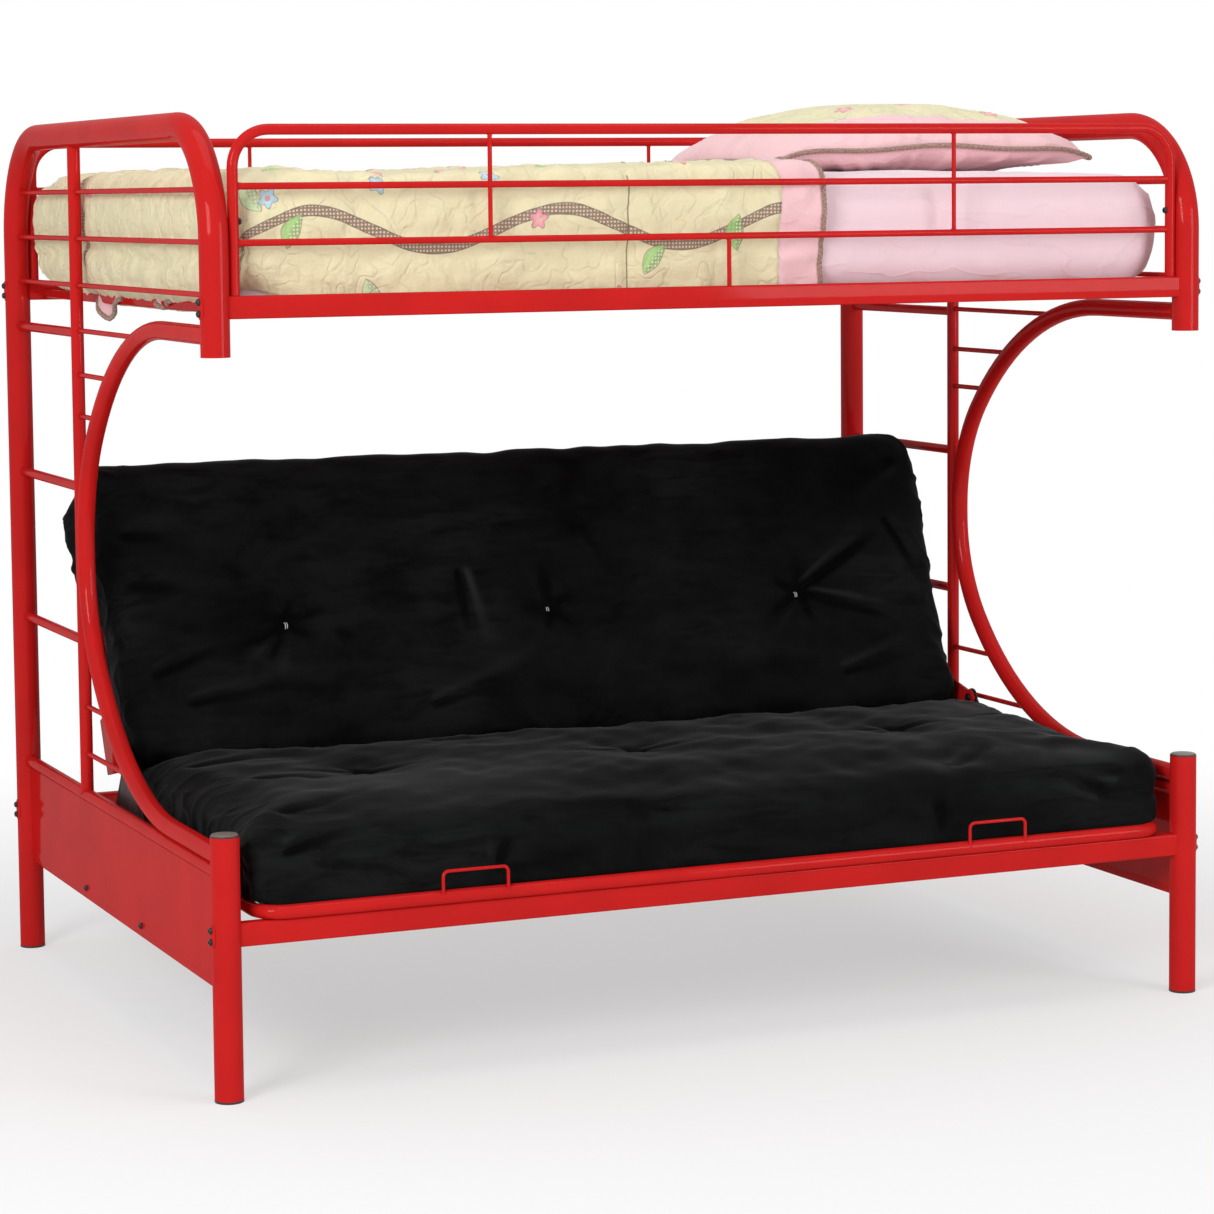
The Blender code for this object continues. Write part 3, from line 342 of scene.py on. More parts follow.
def cotton(name, colour, darker, fold_depth):
    """Smooth cotton with a fine weave and soft creases."""
    g = Graph(name)
    where = g.place()
    tone = g.noise(where, 7.0, 5.0, 0.6)
    threads = g.noise(g.place((1.0, 1.0, 14.0)), 130.0, 2.0)
    base = g.mix(g.times(threads, 0.12), g.mix(tone, shade(colour, 1.04), darker), shade(darker, 0.86))
    normal = g.bump(g.noise(where, 70.0, 4.0, 0.6), 0.0012, 0.6, woven_bump(g))
    normal = g.bump(g.noise(g.place((1.3, 0.8, 0.7)), 13.0, 4.0, 0.55), fold_depth, 0.8, normal)
    creases = g.noise(g.place((0.6, 1.0, 1.4), turn=(0.0, 0.5, 0.0)), 9.0, 2.0)
    normal = g.bump(g.ramp(g.gap(creases, 0.5), 1.0, 0.0, 0.0, 0.03), 0.003, 0.28, normal)
    return g.finish(Base_Color=base, Roughness=g.ramp(tone, 0.78, 0.92), Normal=normal, Sheen_Weight=0.25,
                    Sheen_Roughness=0.5, Specular_IOR_Level=0.25)


def printed_quilt(colour, pink, brown):
    """Cream quilted cotton: leaves, blossoms, dotted ribbons, meandering stitches and puckers."""
    g = Graph("Printed quilt")
    cloth = g.place(source="UV")
    base = g.mix(g.noise(cloth, 9.0, 5.0, 0.6), shade(colour, 1.04), shade(colour, 0.90))
    base = g.mix(g.times(g.noise(cloth, 3.0, 3.0), 0.22), base, (0.82, 0.74, 0.50))
    spots = g.node("ShaderNodeTexVoronoi", {"Vector": cloth, "Scale": 150.0, "Randomness": 0.1})
    dots = g.under(spots, 0.30)
    for middle, swing, wave in ((-0.742, 0.034, 0.46), (0.30, 0.075, 0.61)):
        base = ribbon(g, base, cloth, middle, swing, wave, brown, dots)
    for cell, shift, green in ((0.17, 0.00, (0.26, 0.50, 0.17)), (0.23, 0.43, (0.45, 0.62, 0.36))):
        base = leaves(g, base, cloth, cell, shift, green, brown, dots)
    base = blossoms(g, base, cloth, 0.150, 0.27, pink, (0.84, 0.62, 0.36), brown)
    base = blossoms(g, base, cloth, 0.205, 0.71, (0.34, 0.60, 0.74), pink, brown)
    lines = g.gap(g.noise(cloth, 21.0, 1.0, distortion=0.6), 0.5)
    base = g.mix(g.ramp(lines, 0.12, 0.0, 0.0, 0.020), base, shade(colour, 0.68))
    base = g.mix(seam_line(g, cloth), base, (0.16, 0.12, 0.06))
    pucker = g.noise(g.place((1.0, 1.5, 1.0), source="UV"), 52.0, 5.0, 0.62)
    wrinkle = g.noise(g.place((3.0, 1.0, 1.0), source="UV"), 16.0, 4.0, 0.6)
    normal = g.bump(g.ramp(lines, 0.0, 1.0, 0.0, 0.06), 0.0030, 0.45, woven_bump(g))
    normal = g.bump(wrinkle, 0.0045, 0.60, g.bump(pucker, 0.0028, 0.85, normal))
    return g.finish(Base_Color=base, Roughness=0.88, Normal=normal, Sheen_Weight=0.12, Sheen_Roughness=0.5,
                    Specular_IOR_Level=0.2)


def split(g, vector):
    """First two parts of a vector."""
    first = g.node("ShaderNodeSeparateXYZ", {0: vector})
    return first, first.node.outputs[1]


def seam_line(g, cloth):
    """Dark joining seam across the front drop of the quilt."""
    along, across = split(g, wobble(g, cloth, 0.003))
    near = g.under(g.gap(along, 0.708), 0.0018)
    return g.times(g.times(near, g.under(across, -0.655)), 0.75)


def wobble(g, where, amount):
    """Coordinates pushed about by noise, so that lines wander."""
    centred = g.vector("SUBTRACT", g.noise(where, 7.0, 2.0, out=1), (0.5, 0.5, 0.5))
    return g.vector("ADD", where, g.vector("MULTIPLY", centred, (amount * 2,) * 3))


def ribbon(g, base, cloth, middle, swing, wave, tint, dots):
    """Dotted ribbon appliqué that waves along the quilt."""
    half_width, stitch = 0.0095, 0.0012
    along, across = split(g, wobble(g, cloth, 0.008))
    line = g.times(g.math("SINE", g.times(along, 2 * pi / wave)), swing)
    off = g.gap(g.math("SUBTRACT", across, line), middle)
    inner = g.mix(dots, shade(tint, 1.1), (0.72, 0.60, 0.44))
    base = g.mix(g.times(g.under(off, half_width), 0.9), base, inner)
    edge = g.under(g.gap(off, half_width), stitch)
    return g.mix(g.times(edge, 0.7), base, shade(tint, 0.7))


def scattered(g, cloth, cell, shift):
    """Turned coordinates within each cell of a grid, in metres, and the cell's own random number."""
    moved = g.node("ShaderNodeMapping", {"Vector": cloth, "Scale": (1 / cell, 1 / cell, 1.0),
                                         "Location": (shift * 3.1, shift * 5.3, 0.0)})
    seeded = g.vector("ADD", g.vector("FLOOR", moved), (shift * 9.0, shift * 4.0, 0.5))
    luck = g.node("ShaderNodeTexWhiteNoise", {"Vector": seeded}, noise_dimensions="3D")
    centre = g.vector("MULTIPLY_ADD", luck.node.outputs[1], (0.4, 0.4, 0.0), (0.3, 0.3, 0.0))
    offset = g.vector("SUBTRACT", g.vector("FRACTION", moved), centre)
    metres = g.vector("MULTIPLY", offset, (cell, cell, 0.0))
    turned = g.node("ShaderNodeVectorRotate", {"Vector": metres, "Angle": g.times(luck, 60.0)},
                    rotation_type="Z_AXIS")
    return split(g, turned), luck


def chosen(g, cloth, luck, share):
    """One in the cells that carry a patch, away from the tucked end of the quilt."""
    return g.times(g.under(luck, share), g.math("GREATER_THAN", split(g, cloth)[0], -0.06))


def sewn_on(g, base, edge, here, inner, thread):
    """Patch where edge is below zero, with a line of stitches along it."""
    inside = g.times(g.under(edge, 0.0), here)
    stitch = g.times(g.under(g.math("ABSOLUTE", edge), 0.0011), here)
    base = g.mix(g.times(inside, 0.85), base, inner)
    return g.mix(g.times(stitch, 0.6), base, shade(thread, 1.3))


def leaves(g, base, cloth, cell, shift, tint, thread, dots):
    """Bent leaves, half of each one dotted."""
    (u, v), luck = scattered(g, cloth, cell, shift)
    square = g.times(u, u)
    bend = g.math("SUBTRACT", v, g.times(square, 5.0))
    half_width = g.math("SUBTRACT", 0.0165, g.times(square, 15.0))
    edge = g.math("SUBTRACT", g.math("ABSOLUTE", bend), half_width)
    upper = g.math("GREATER_THAN", bend, 0.0)
    inner = g.mix(g.times(upper, dots), g.mix(upper, shade(tint, 1.35), tint), (0.78, 0.82, 0.58))
    return sewn_on(g, base, edge, chosen(g, cloth, luck, 0.42), inner, thread)


def blossoms(g, base, cloth, cell, shift, tint, middle, thread):
    """Five-petalled blossoms with a round middle."""
    (u, v), luck = scattered(g, cloth, cell, shift)
    far = g.math("SQRT", g.math("ADD", g.times(u, u), g.times(v, v)))
    petals = g.math("COSINE", g.times(g.math("ARCTAN2", v, u), 5.0))
    edge = g.math("SUBTRACT", far, g.math("ADD", 0.0150, g.times(petals, 0.0038)))
    petal = g.mix(g.ramp(far, 0.0, 1.0, 0.006, 0.018), shade(tint, 1.3), tint)
    inner = g.mix(g.under(far, 0.0050), petal, middle)
    return sewn_on(g, base, edge, chosen(g, cloth, luck, 0.40), inner, thread)


def braided(colour):
    """Brown trim with paler threads."""
    g = Graph("Brown braid")
    where = g.place()
    threads = g.noise(where, 900.0, 2.0)
    base = g.mix(g.ramp(threads, 0.0, 1.0, 0.40, 0.60), shade(colour, 0.55), shade(colour, 2.6))
    return g.finish(Base_Color=base, Roughness=0.85, Normal=g.bump(threads, 0.0005, 0.6), Sheen_Weight=0.2)


def tuft_thread():
    """Pale waxed thread of the tufts."""
    g = Graph("Tuft thread")
    twist = g.noise(g.place(), 1500.0, 2.0)
    return g.finish(Base_Color=g.mix(twist, (0.40, 0.40, 0.39), (0.70, 0.70, 0.68)), Roughness=0.6,
                    Normal=g.bump(twist, 0.0003, 0.6))


made_materials = {}


def finish_of(name):
    """One of the bed's finishes, made when it is first asked for."""
    colours = bpy.context.scene.bed_colours
    paint, steel, cap, suede, pink, cream, braid_brown = (
        tuple(getattr(colours, key)) for key in ("paint", "steel", "cap", "suede", "pink", "cream", "braid"))
    makers = {
        "paint": lambda: gloss_paint(paint),
        "steel": lambda: dark_steel(steel),
        "plastic": lambda: moulded_plastic("Black plastic", (0.022, 0.022, 0.022)),
        "cap": lambda: moulded_plastic("Grey-brown plastic", cap),
        "suede": lambda: napped_suede(suede),
        "pink": lambda: cotton("Pink cotton", pink, shade(pink, 0.93), 0.004),
        "border": lambda: cotton("Pink border cotton", (0.890, 0.600, 0.620), (0.860, 0.540, 0.570), 0.003),
        "quilt": lambda: printed_quilt(cream, (0.80, 0.30, 0.40), braid_brown),
        "braid": lambda: braided(braid_brown),
        "thread": tuft_thread,
    }
    if name not in made_materials:
        made_materials[name] = makers[name]()
    return made_materials[name]


# Meshes


def added(name, data):
    """New object in the scene, at the origin."""
    made = bpy.data.objects.new(name, data)
    bpy.context.scene.collection.objects.link(made)
    return made


def raw_object(name, points, faces, edges=()):
    """Mesh object at the origin."""
    mesh = bpy.data.meshes.new(name)
    mesh.from_pydata([tuple(p) for p in points], list(edges), [tuple(f) for f in faces])
    mesh.validate()
    return added(name, mesh)


def keep_result(made):
    """Apply the live modifiers."""
    fresh = bpy.data.meshes.new_from_object(made.evaluated_get(bpy.context.evaluated_depsgraph_get()))
    made.modifiers.clear()
    made.data = fresh


def modified(made, name, kind, **settings):
    """Apply one new modifier."""
    modifier = made.modifiers.new(name, kind)
    for key, value in settings.items():
        setattr(modifier, key, value)
    keep_result(made)


def reshaped(made, change):
    """Let a function change an object's mesh."""
    shape = bmesh.new()
    shape.from_mesh(made.data)
    change(shape)
    shape.to_mesh(made.data)
    shape.free()


def dress(made, finish, body, stands_for=(), slot=None, sharp=35.0):
    """Material, smooth shading, body and stood-for nodes of a finished piece."""
    if finish is not None:
        made.data.materials.clear()
        made.data.materials.append(finish_of(finish))
    for face in made.data.polygons:
        face.use_smooth = True
    made.data.set_sharp_from_angle(angle=radians(sharp))
    if body:
        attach(made, body)
    if stands_for:
        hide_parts(*stands_for)
    return made


def merged(shapes):
    """Points and faces of several closed shapes as one list each."""
    points = []
    faces = []
    for shape_points, shape_faces in shapes:
        start = len(points)
        points.extend(shape_points)
        faces.extend([i + start for i in face] for face in shape_faces)
    return points, faces


def piece(name, shapes, finish, body="bed", stands_for=(), slot=None, sharp=35.0):
    """Finished piece from several closed shapes."""
    return dress(raw_object(name, *merged(shapes)), finish, body, stands_for, slot, sharp)


def painted(name, shapes, node=None, body="bed", sharp=35.0):
    """Finished piece in the bed's red paint."""
    return piece(name, shapes, "paint", body, (node,) if node else (), "red_paint", sharp)


def circle(radius, sides):
    """Points of a circle, anticlockwise."""
    return [(radius * cos(2 * pi * k / sides), radius * sin(2 * pi * k / sides)) for k in range(sides)]


def side_faces(rings, sides, start=0, closed=False):
    """Faces between rings of points that lie one after another."""
    made = []
    for r in range(rings if closed else rings - 1):
        a, b = start + r * sides, start + (r + 1) % rings * sides
        for k in range(sides):
            j = (k + 1) % sides
            made.append((a + k, a + j, b + j, b + k))
    return made


def grid_faces(rows, columns, start=0):
    """Faces between rows of points that lie one after another."""
    made = []
    for first in range(start, start + (rows - 1) * columns, columns):
        made.extend((a, a + 1, a + columns + 1, a + columns) for a in range(first, first + columns - 1))
    return made


def end_faces(rings, sides):
    """Face on the first ring and face on the last ring."""
    return [tuple(range(sides))[::-1], tuple(range((rings - 1) * sides, rings * sides))]


def corner_arc(before, corner, after, radius, steps):
    """Arc of that radius that rounds a corner off."""
    a = (before - corner).normalized()
    b = (after - corner).normalized()
    half = a.angle(b) / 2
    centre = corner + (a + b).normalized() * (radius / sin(half))
    start = corner + a * (radius / tan(half)) - centre
    end = corner + b * (radius / tan(half)) - centre
    return [centre + radius * start.slerp(end, step / steps) for step in range(steps + 1)]


def rounded(corners, radius, steps):
    """Path through the corners, with each inner corner turned into an arc."""
    corners = [Vector(c) for c in corners]
    arcs = [corner_arc(*three, radius, steps) for three in zip(corners, corners[1:], corners[2:])]
    return [corners[0], *(point for arc in arcs for point in arc), corners[-1]]


def frames(path, closed=False):
    """Point, sideways and upward direction at each point of a path."""
    count = len(path)
    ends_at = count if closed else count - 1
    runs = [(path[(i + 1) % count] - path[i]).normalized() for i in range(ends_at)]
    start = Vector((1, 0, 0)) if abs(runs[0].x) < 0.9 else Vector((0, 1, 0))
    side = (start - runs[0] * start.dot(runs[0])).normalized()
    made = []
    for index, point in enumerate(path):
        before = runs[index - 1] if closed or index else runs[0]
        after = runs[index % len(runs)] if closed or index < len(runs) else runs[-1]
        along = (before + after).normalized()
        side = (side - along * side.dot(along)).normalized()
        made.append((point, side, along.cross(side)))
    return made


def sweep(path, radius, sides, bore=0.0, closed=False):
    """Round bar or tube along a path."""
    rings = frames([Vector(p) for p in path], closed)
    count = len(rings)
    points = []
    for reach in ([radius, bore] if bore else [radius]):
        for point, across, up in rings:
            points.extend(point + across * a + up * b for a, b in circle(reach, sides))
    faces = side_faces(count, sides, closed=closed)
    inner = count * sides
    last = inner - sides
    if bore:
        faces.extend(face[::-1] for face in side_faces(count, sides, inner, closed))
        for k in range(sides):
            j = (k + 1) % sides
            faces.append((j, k, inner + k, inner + j))
            faces.append((last + k, last + j, inner + last + j, inner + last + k))
    elif not closed:
        faces.extend(end_faces(count, sides))
    return points, faces


def bar(start, end, radius, sides, bore=0.0):
    """Straight round bar or tube."""
    return sweep([start, end], radius, sides, bore)


def lofted(outline, start, end, axis):
    """Closed outline carried straight along X or Y. Each outline point is the other two coordinates."""
    points = []
    for reach in (start, end):
        for a, b in outline:
            points.append(Vector((reach, a, b)) if axis == "x" else Vector((a, reach, b)))
    faces = end_faces(2, len(outline)) + side_faces(2, len(outline))
    return points, faces if axis == "x" else [f[::-1] for f in faces]


def round_rectangle(centre, size, radius, steps=4):
    """Outline of a rectangle with rounded corners, anticlockwise."""
    made = []
    for corner, (sx, sy) in enumerate(((1, 1), (-1, 1), (-1, -1), (1, -1))):
        for step in range(steps + 1):
            angle = pi / 2 * (corner + step / steps)
            made.append((centre[0] + sx * (size[0] / 2 - radius) + radius * cos(angle),
                         centre[1] + sy * (size[1] / 2 - radius) + radius * sin(angle)))
    return made


def revolved(profile, place, sides=40):
    """Profile of (radius, height) turned round an upright axis through a place."""
    points = []
    for radius, height in profile:
        points.extend(Vector(place) + Vector((a, b, height)) for a, b in circle(radius, sides))
    return points, side_faces(len(profile), sides) + end_faces(len(profile), sides)


def refined(name, node, finish, body="bed", slot="black_steel"):
    """Copy of a frame piece with its flat faces merged and its edges rounded."""
    made = added(name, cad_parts[node].data.copy())

    def merge(shape):
        bmesh.ops.remove_doubles(shape, verts=shape.verts, dist=0.00002)
        bmesh.ops.dissolve_limit(shape, angle_limit=radians(1.0), verts=shape.verts, edges=shape.edges)

    reshaped(made, merge)
    modified(made, "Rounded edges", "BEVEL", width=0.0006, segments=2, limit_method="ANGLE",
             angle_limit=radians(40), use_clamp_overlap=True)
    return dress(made, finish, body, (node,), slot)


# Node groups for what repeats


def node_group(name, inputs):
    """Geometry group with named inputs, and the outputs of its input node by their names."""
    tree = bpy.data.node_groups.new(name, "GeometryNodeTree")
    inputs = (("Geometry", "Geometry", None), *inputs, ("Material", "Material", None))
    for label, kind, default in inputs:
        socket = tree.interface.new_socket(label, in_out="INPUT", socket_type="NodeSocket" + kind)
        if default is not None:
            socket.default_value = default
    tree.interface.new_socket("Geometry", in_out="OUTPUT", socket_type="NodeSocketGeometry")
    return tree, tree.nodes.new("NodeGroupInput").outputs


def copies_on(tree, points, shape, **inputs):
    """Copies of a shape on points."""
    return add_node(tree, "GeometryNodeInstanceOnPoints", {"Points": points, "Instance": shape, **inputs})


def close_group(tree, start, copies):
    """Turn the copies into plain mesh, give it the material and hand it out."""
    real = add_node(tree, "GeometryNodeRealizeInstances", {0: copies})
    coated = add_node(tree, "GeometryNodeSetMaterial", {"Geometry": real, "Material": start["Material"]})
    put(tree, tree.nodes.new("NodeGroupOutput").inputs[0], coated)
    return tree


def bead_group():
    """Drops of weld metal, evenly spaced along loops of edges."""
    tree, start = node_group("Weld beads", (("Spacing", "Float", 0.0022), ("Drop radius", "Float", 0.0016)))
    curve = add_node(tree, "GeometryNodeMeshToCurve", {0: start["Geometry"]})
    spaced = add_node(tree, "GeometryNodeResampleCurve", {"Curve": curve, "Length": start["Spacing"]},
                      mode="LENGTH")
    drop = add_node(tree, "GeometryNodeMeshIcoSphere", {"Subdivisions": 2, "Radius": start["Drop radius"]})
    size = tree.nodes.new("FunctionNodeRandomValue")
    size.data_type = "FLOAT_VECTOR"
    for label, value in (("Min", (0.75, 0.75, 0.75)), ("Max", (1.15, 1.15, 1.15)), ("Seed", 7)):
        size.inputs[label].default_value = value
    return close_group(tree, start, copies_on(tree, spaced, drop, Scale=size.outputs["Value"]))


def copies_group():
    """Copies of one shape on points, each turned to the point's own axis."""
    tree, start = node_group("Copies on points", (("Shape", "Object", None),))
    shape = add_node(tree, "GeometryNodeObjectInfo", {"Object": start["Shape"]}, "Geometry")
    axis = tree.nodes.new("GeometryNodeInputNamedAttribute")
    axis.data_type = "FLOAT_VECTOR"
    axis.inputs["Name"].default_value = "axis"
    turn = add_node(tree, "FunctionNodeAlignRotationToVector", {"Vector": axis.outputs["Attribute"]},
                    axis="Z")
    return close_group(tree, start, copies_on(tree, start["Geometry"], shape, Rotation=turn))


def slat_group():
    """Row of flat slats with rounded corners, joined to what is already there."""
    tree, start = node_group("Row of slats", (
        ("Count", "Int", 12), ("Width", "Float", 0.03), ("Height", "Float", 0.018), ("Length", "Float", 1.0),
        ("Corner", "Float", 0.003), ("First", "Vector", None), ("Step", "Vector", None)))
    outline = add_node(tree, "GeometryNodeCurvePrimitiveQuadrilateral",
                       {"Width": start["Width"], "Height": start["Height"]})
    soft = tree.nodes.new("GeometryNodeFilletCurve")
    soft.mode = "POLY"
    for label, value in (("Count", 3), ("Curve", outline), ("Radius", start["Corner"])):
        put(tree, soft.inputs[label], value)
    reach = add_node(tree, "ShaderNodeCombineXYZ", {"Y": start["Length"]})
    line = add_node(tree, "GeometryNodeCurvePrimitiveLine", {"End": reach})
    solid = add_node(tree, "GeometryNodeCurveToMesh",
                     {"Curve": line, "Profile Curve": soft.outputs[0], "Fill Caps": True})
    row = add_node(tree, "GeometryNodeMeshLine",
                   {"Count": start["Count"], "Start Location": start["First"], "Offset": start["Step"]})
    both = add_node(tree, "GeometryNodeJoinGeometry", {0: copies_on(tree, row, solid)})
    tree.links.new(start["Geometry"], both.node.inputs[0])
    return close_group(tree, start, both)


group_makers = {"Weld beads": bead_group, "Copies on points": copies_group, "Row of slats": slat_group}


def grown(made, group_name, values):
    """Run a node group on an object and keep the plain mesh that it makes."""
    tree = bpy.data.node_groups.get(group_name) or group_makers[group_name]()
    modifier = made.modifiers.new(group_name, "NODES")
    modifier.node_group = tree
    sockets = {item.name: item.identifier for item in tree.interface.items_tree if item.in_out == "INPUT"}
    for label, value in values.items():
        modifier[sockets[label]] = value
    bpy.context.view_layer.update()
    keep_result(made)
    outward(made)


def outward(made):
    """Turn all faces of closed shapes outwards."""
    reshaped(made, lambda shape: bmesh.ops.recalc_face_normals(shape, faces=shape.faces))


def weld_loop(centre, along, across, radius, host_radius, count):
    """Loop where a rod of that radius meets a round host, whose axis is square to both directions given."""
    along, across = Vector(along), Vector(across)
    up = along.cross(across)
    loop = []
    for side, rise in circle(radius, count):
        depth = sqrt(max(0.0, host_radius ** 2 - side ** 2))
        loop.append(Vector(centre) + along * depth + across * side + up * rise)
    return loop


def post_loop(x, y, z, way, radius, host_radius, count):
    """Weld loop of a rod that leaves an upright post along Y, forward (-1) or backward (1)."""
    return weld_loop((x, y, z), (0, way, 0), (1, 0, 0), radius, host_radius, count)


def weld_beads(name, loops):
    """Weld beads along all the loops, as one piece."""
    radius = bpy.context.scene.bed_sizes.weld_bead
    points = []
    edges = []
    for loop in loops:
        start = len(points)
        points.extend(loop)
        edges.extend((start + i, start + (i + 1) % len(loop)) for i in range(len(loop)))
    made = raw_object(name, points, (), edges)
    grown(made, "Weld beads", {"Spacing": radius * 1.5, "Drop radius": radius,
                               "Material": finish_of("paint")})
    dress(made, None, "bed", slot="red_paint", sharp=80.0)


def button_head(radius):
    """Low domed bolt head with a six-sided socket, along +Z."""
    sides = 24
    dome = [(1.0, 0.0), (1.0, 0.16), (0.93, 0.46), (0.74, 0.68), (0.50, 0.78)]
    points = [Vector((radius * a, radius * b, radius * h)) for r, h in dome for a, b in circle(r, sides)]
    for height in (0.78, 0.38):
        for k in range(sides):
            angle = 2 * pi * k / sides
            nearest = (angle + pi / 6) % (pi / 3) - pi / 6
            reach = radius * 0.38 / cos(nearest)
            points.append(Vector((reach * cos(angle), reach * sin(angle), radius * height)))
    rings = len(dome) + 2
    return points, side_faces(rings, sides) + end_faces(rings, sides)


def bolts(name, places, radius, stands_for=()):
    """Bolt heads at (place, axis) pairs, as one piece."""
    head = raw_object("head for " + name, *button_head(radius))
    made = raw_object(name, [place for place, axis in places], ())
    attribute = made.data.attributes.new("axis", "FLOAT_VECTOR", "POINT")
    attribute.data.foreach_set("vector", np.array([axis for place, axis in places], np.float32).ravel())
    grown(made, "Copies on points", {"Shape": head, "Material": finish_of("steel")})
    bpy.data.objects.remove(head, do_unlink=True)
    dress(made, None, "bed", stands_for, "black_steel")


# Paths of the frame


def hoop_path(x):
    """Centre line of the back post, the top run and the stub."""
    corners = [(x, back_y, foot_thickness), (x, back_y, hoop_top_z), (x, front_y, hoop_top_z),
               (x, front_y, stub_bottom_z)]
    return rounded(corners, hoop_bend_radius, 20)


def arc_path(x):
    """Centre line of the C, from the stub to the lower front post."""
    rise = (arc_top_z - arc_bottom_z - arc_middle_length) / 2
    across, height = cos(arc_tight_angle), sin(arc_tight_angle)
    easing = (rise - arc_tight_radius * height) / (1 - height)
    upper = []
    for angle in np.linspace(pi / 2, arc_tight_angle, 16, endpoint=False):
        upper.append((arc_tight_radius * (across - 1) - easing * (across - cos(angle)),
                      arc_tight_radius * height + easing * (sin(angle) - height)))
    for angle in np.linspace(arc_tight_angle, 0, 17):
        upper.append((arc_tight_radius * (cos(angle) - 1), arc_tight_radius * sin(angle)))
    rearmost = front_y + arc_reach
    line = [(front_y, arc_top_z)] + [(rearmost + y, arc_top_z - rise + z) for y, z in upper]
    line += [(rearmost + y, arc_bottom_z + rise - z) for y, z in reversed(upper)] + [(front_y, arc_bottom_z)]
    return [Vector((x, y, z)) for y, z in line]


def arc_y_at(z, path):
    """Depth at which the C's centre line, which only falls, has a height."""
    return float(np.interp(-z, [-point.z for point in path], [point.y for point in path]))


def hoop_y_at(z, sign):
    """Depth of the hoop's centre line at a height on its front (-1) or back (+1) side."""
    rise = max(0.0, z - (hoop_top_z - hoop_bend_radius))
    return sign * (back_y - hoop_bend_radius + sqrt(hoop_bend_radius ** 2 - rise ** 2))


# Operators


class BED_OT_end_frames(bpy.types.Operator):
    """Hoops, lower posts, C arcs, mid posts, rungs and rods of both ends"""

    bl_idname = "bed.end_frames"
    bl_label = "End frames"

    def execute(self, context):
        sides = context.scene.bed_sizes.tube_sides
        for side, label in ends:
            x = side * half_x
            arc = arc_path(x)
            hoop = sweep(hoop_path(x), post_radius, sides, post_bore)
            painted("hoop_tube_" + label, [hoop], "end_hoop_" + label)
            foot, top = (x, front_y, foot_thickness), (x, front_y, front_post_top_z)
            painted("lower_post_tube_" + label, [bar(foot, top, post_radius, sides, post_bore)],
                    "front_post_" + label)
            upper, lower = (Vector((x, front_y + post_inset, z)) for z in (arc_top_z, arc_bottom_z))
            c_tube = sweep([upper] + arc[1:-1] + [lower], arc_radius, 32)
            painted("c_tube_" + label, [c_tube], "c_arc_" + label)
            loops = [post_loop(x, front_y, z, 1, arc_radius, post_radius, 32)
                     for z in (arc_top_z, arc_bottom_z)]
            self.ladder(x, label, arc, loops)
            for y, way in ((front_y, 1), (back_y, -1)):
                loops.append(post_loop(x, y, panel_tube_z, way, panel_tube_radius, post_radius, 24))
            weld_beads("end_welds_" + label, loops)
        return {"FINISHED"}

    def ladder(self, x, label, arc, loops):
        """Mid post, rungs and thin rods of one end."""
        post = [bar((x, mid_post_y, panel_tube_z), (x, mid_post_y, hoop_top_z), mid_post_radius, 28)]
        for z in short_rod_heights:
            post.append(bar((x, mid_post_y, z), (x, arc_y_at(z, arc), z), rod_radius, 14))
            loops.append(post_loop(x, mid_post_y, z, -1, rod_radius, mid_post_radius, 12))
        painted("mid_post_tube_" + label, post, "mid_post_" + label)
        foot = []
        for a, b in circle(mid_post_radius, 24):
            rise = sqrt(panel_tube_radius ** 2 - (0.98 * a) ** 2)
            foot.append(Vector((x + a, mid_post_y + b, panel_tube_z + rise)))
        loops.append(foot)
        for name, z in zip(levels, rung_heights):
            rung = bar((x, mid_post_y, z), (x, back_y - post_radius / 2, z), rung_radius, 24)
            painted(f"rung_bar_{name}_{label}", [rung], f"rung_{name}_{label}")
            loops.append(post_loop(x, mid_post_y, z, 1, rung_radius, mid_post_radius, 20))
            loops.append(post_loop(x, back_y, z, -1, rung_radius, post_radius, 20))
        for name, z in zip(levels, long_rod_heights):
            near, far = hoop_y_at(z, -1), hoop_y_at(z, 1)
            rod = bar((x, near, z), (x, far, z), rod_radius, 16)
            painted(f"thin_rod_{name}_{label}", [rod], f"long_rod_{name}_{label}")
            for y, way, host_radius in ((near, 1, post_radius), (far, -1, post_radius),
                                        (mid_post_y, 1, mid_post_radius), (mid_post_y, -1, mid_post_radius)):
                loops.append(post_loop(x, y, z, way, rod_radius, host_radius, 12))


class BED_OT_end_panels(bpy.types.Operator):
    """Pressed panels with a tube on top and a folded hem"""

    bl_idname = "bed.end_panels"
    bl_label = "End panels"

    def execute(self, context):
        half_sheet, half_hem, bead_radius = 0.00075, 0.00225, 0.0012
        near, far = front_y + post_inset, back_y - post_inset
        hem_z = panel_bottom_z + half_hem
        for side, label in ends:
            x = side * half_x
            half_outline = [(half_sheet, panel_tube_z - 0.006), (half_sheet, panel_hem_top_z + 0.004),
                            (half_hem, panel_hem_top_z - 0.001), (half_hem, hem_z)]
            fold = [(a, hem_z + b) for a, b in circle(half_hem, 16)[9:]]
            outline = [(x - a, z) for a, z in half_outline]
            outline += [(x + a, z) for a, z in fold + half_outline[::-1]]
            shapes = [lofted(outline, near, far, "y"),
                      bar((x, near, panel_tube_z), (x, far, panel_tube_z), panel_tube_radius, 28)]
            seam_z = panel_tube_z - panel_tube_radius
            for bead_x in (x - bead_radius, x + bead_radius):
                shapes.append(bar((bead_x, near, seam_z), (bead_x, far, seam_z), bead_radius, 8))
            outward(painted("pressed_panel_" + label, shapes, "end_panel_" + label))
        return {"FINISHED"}


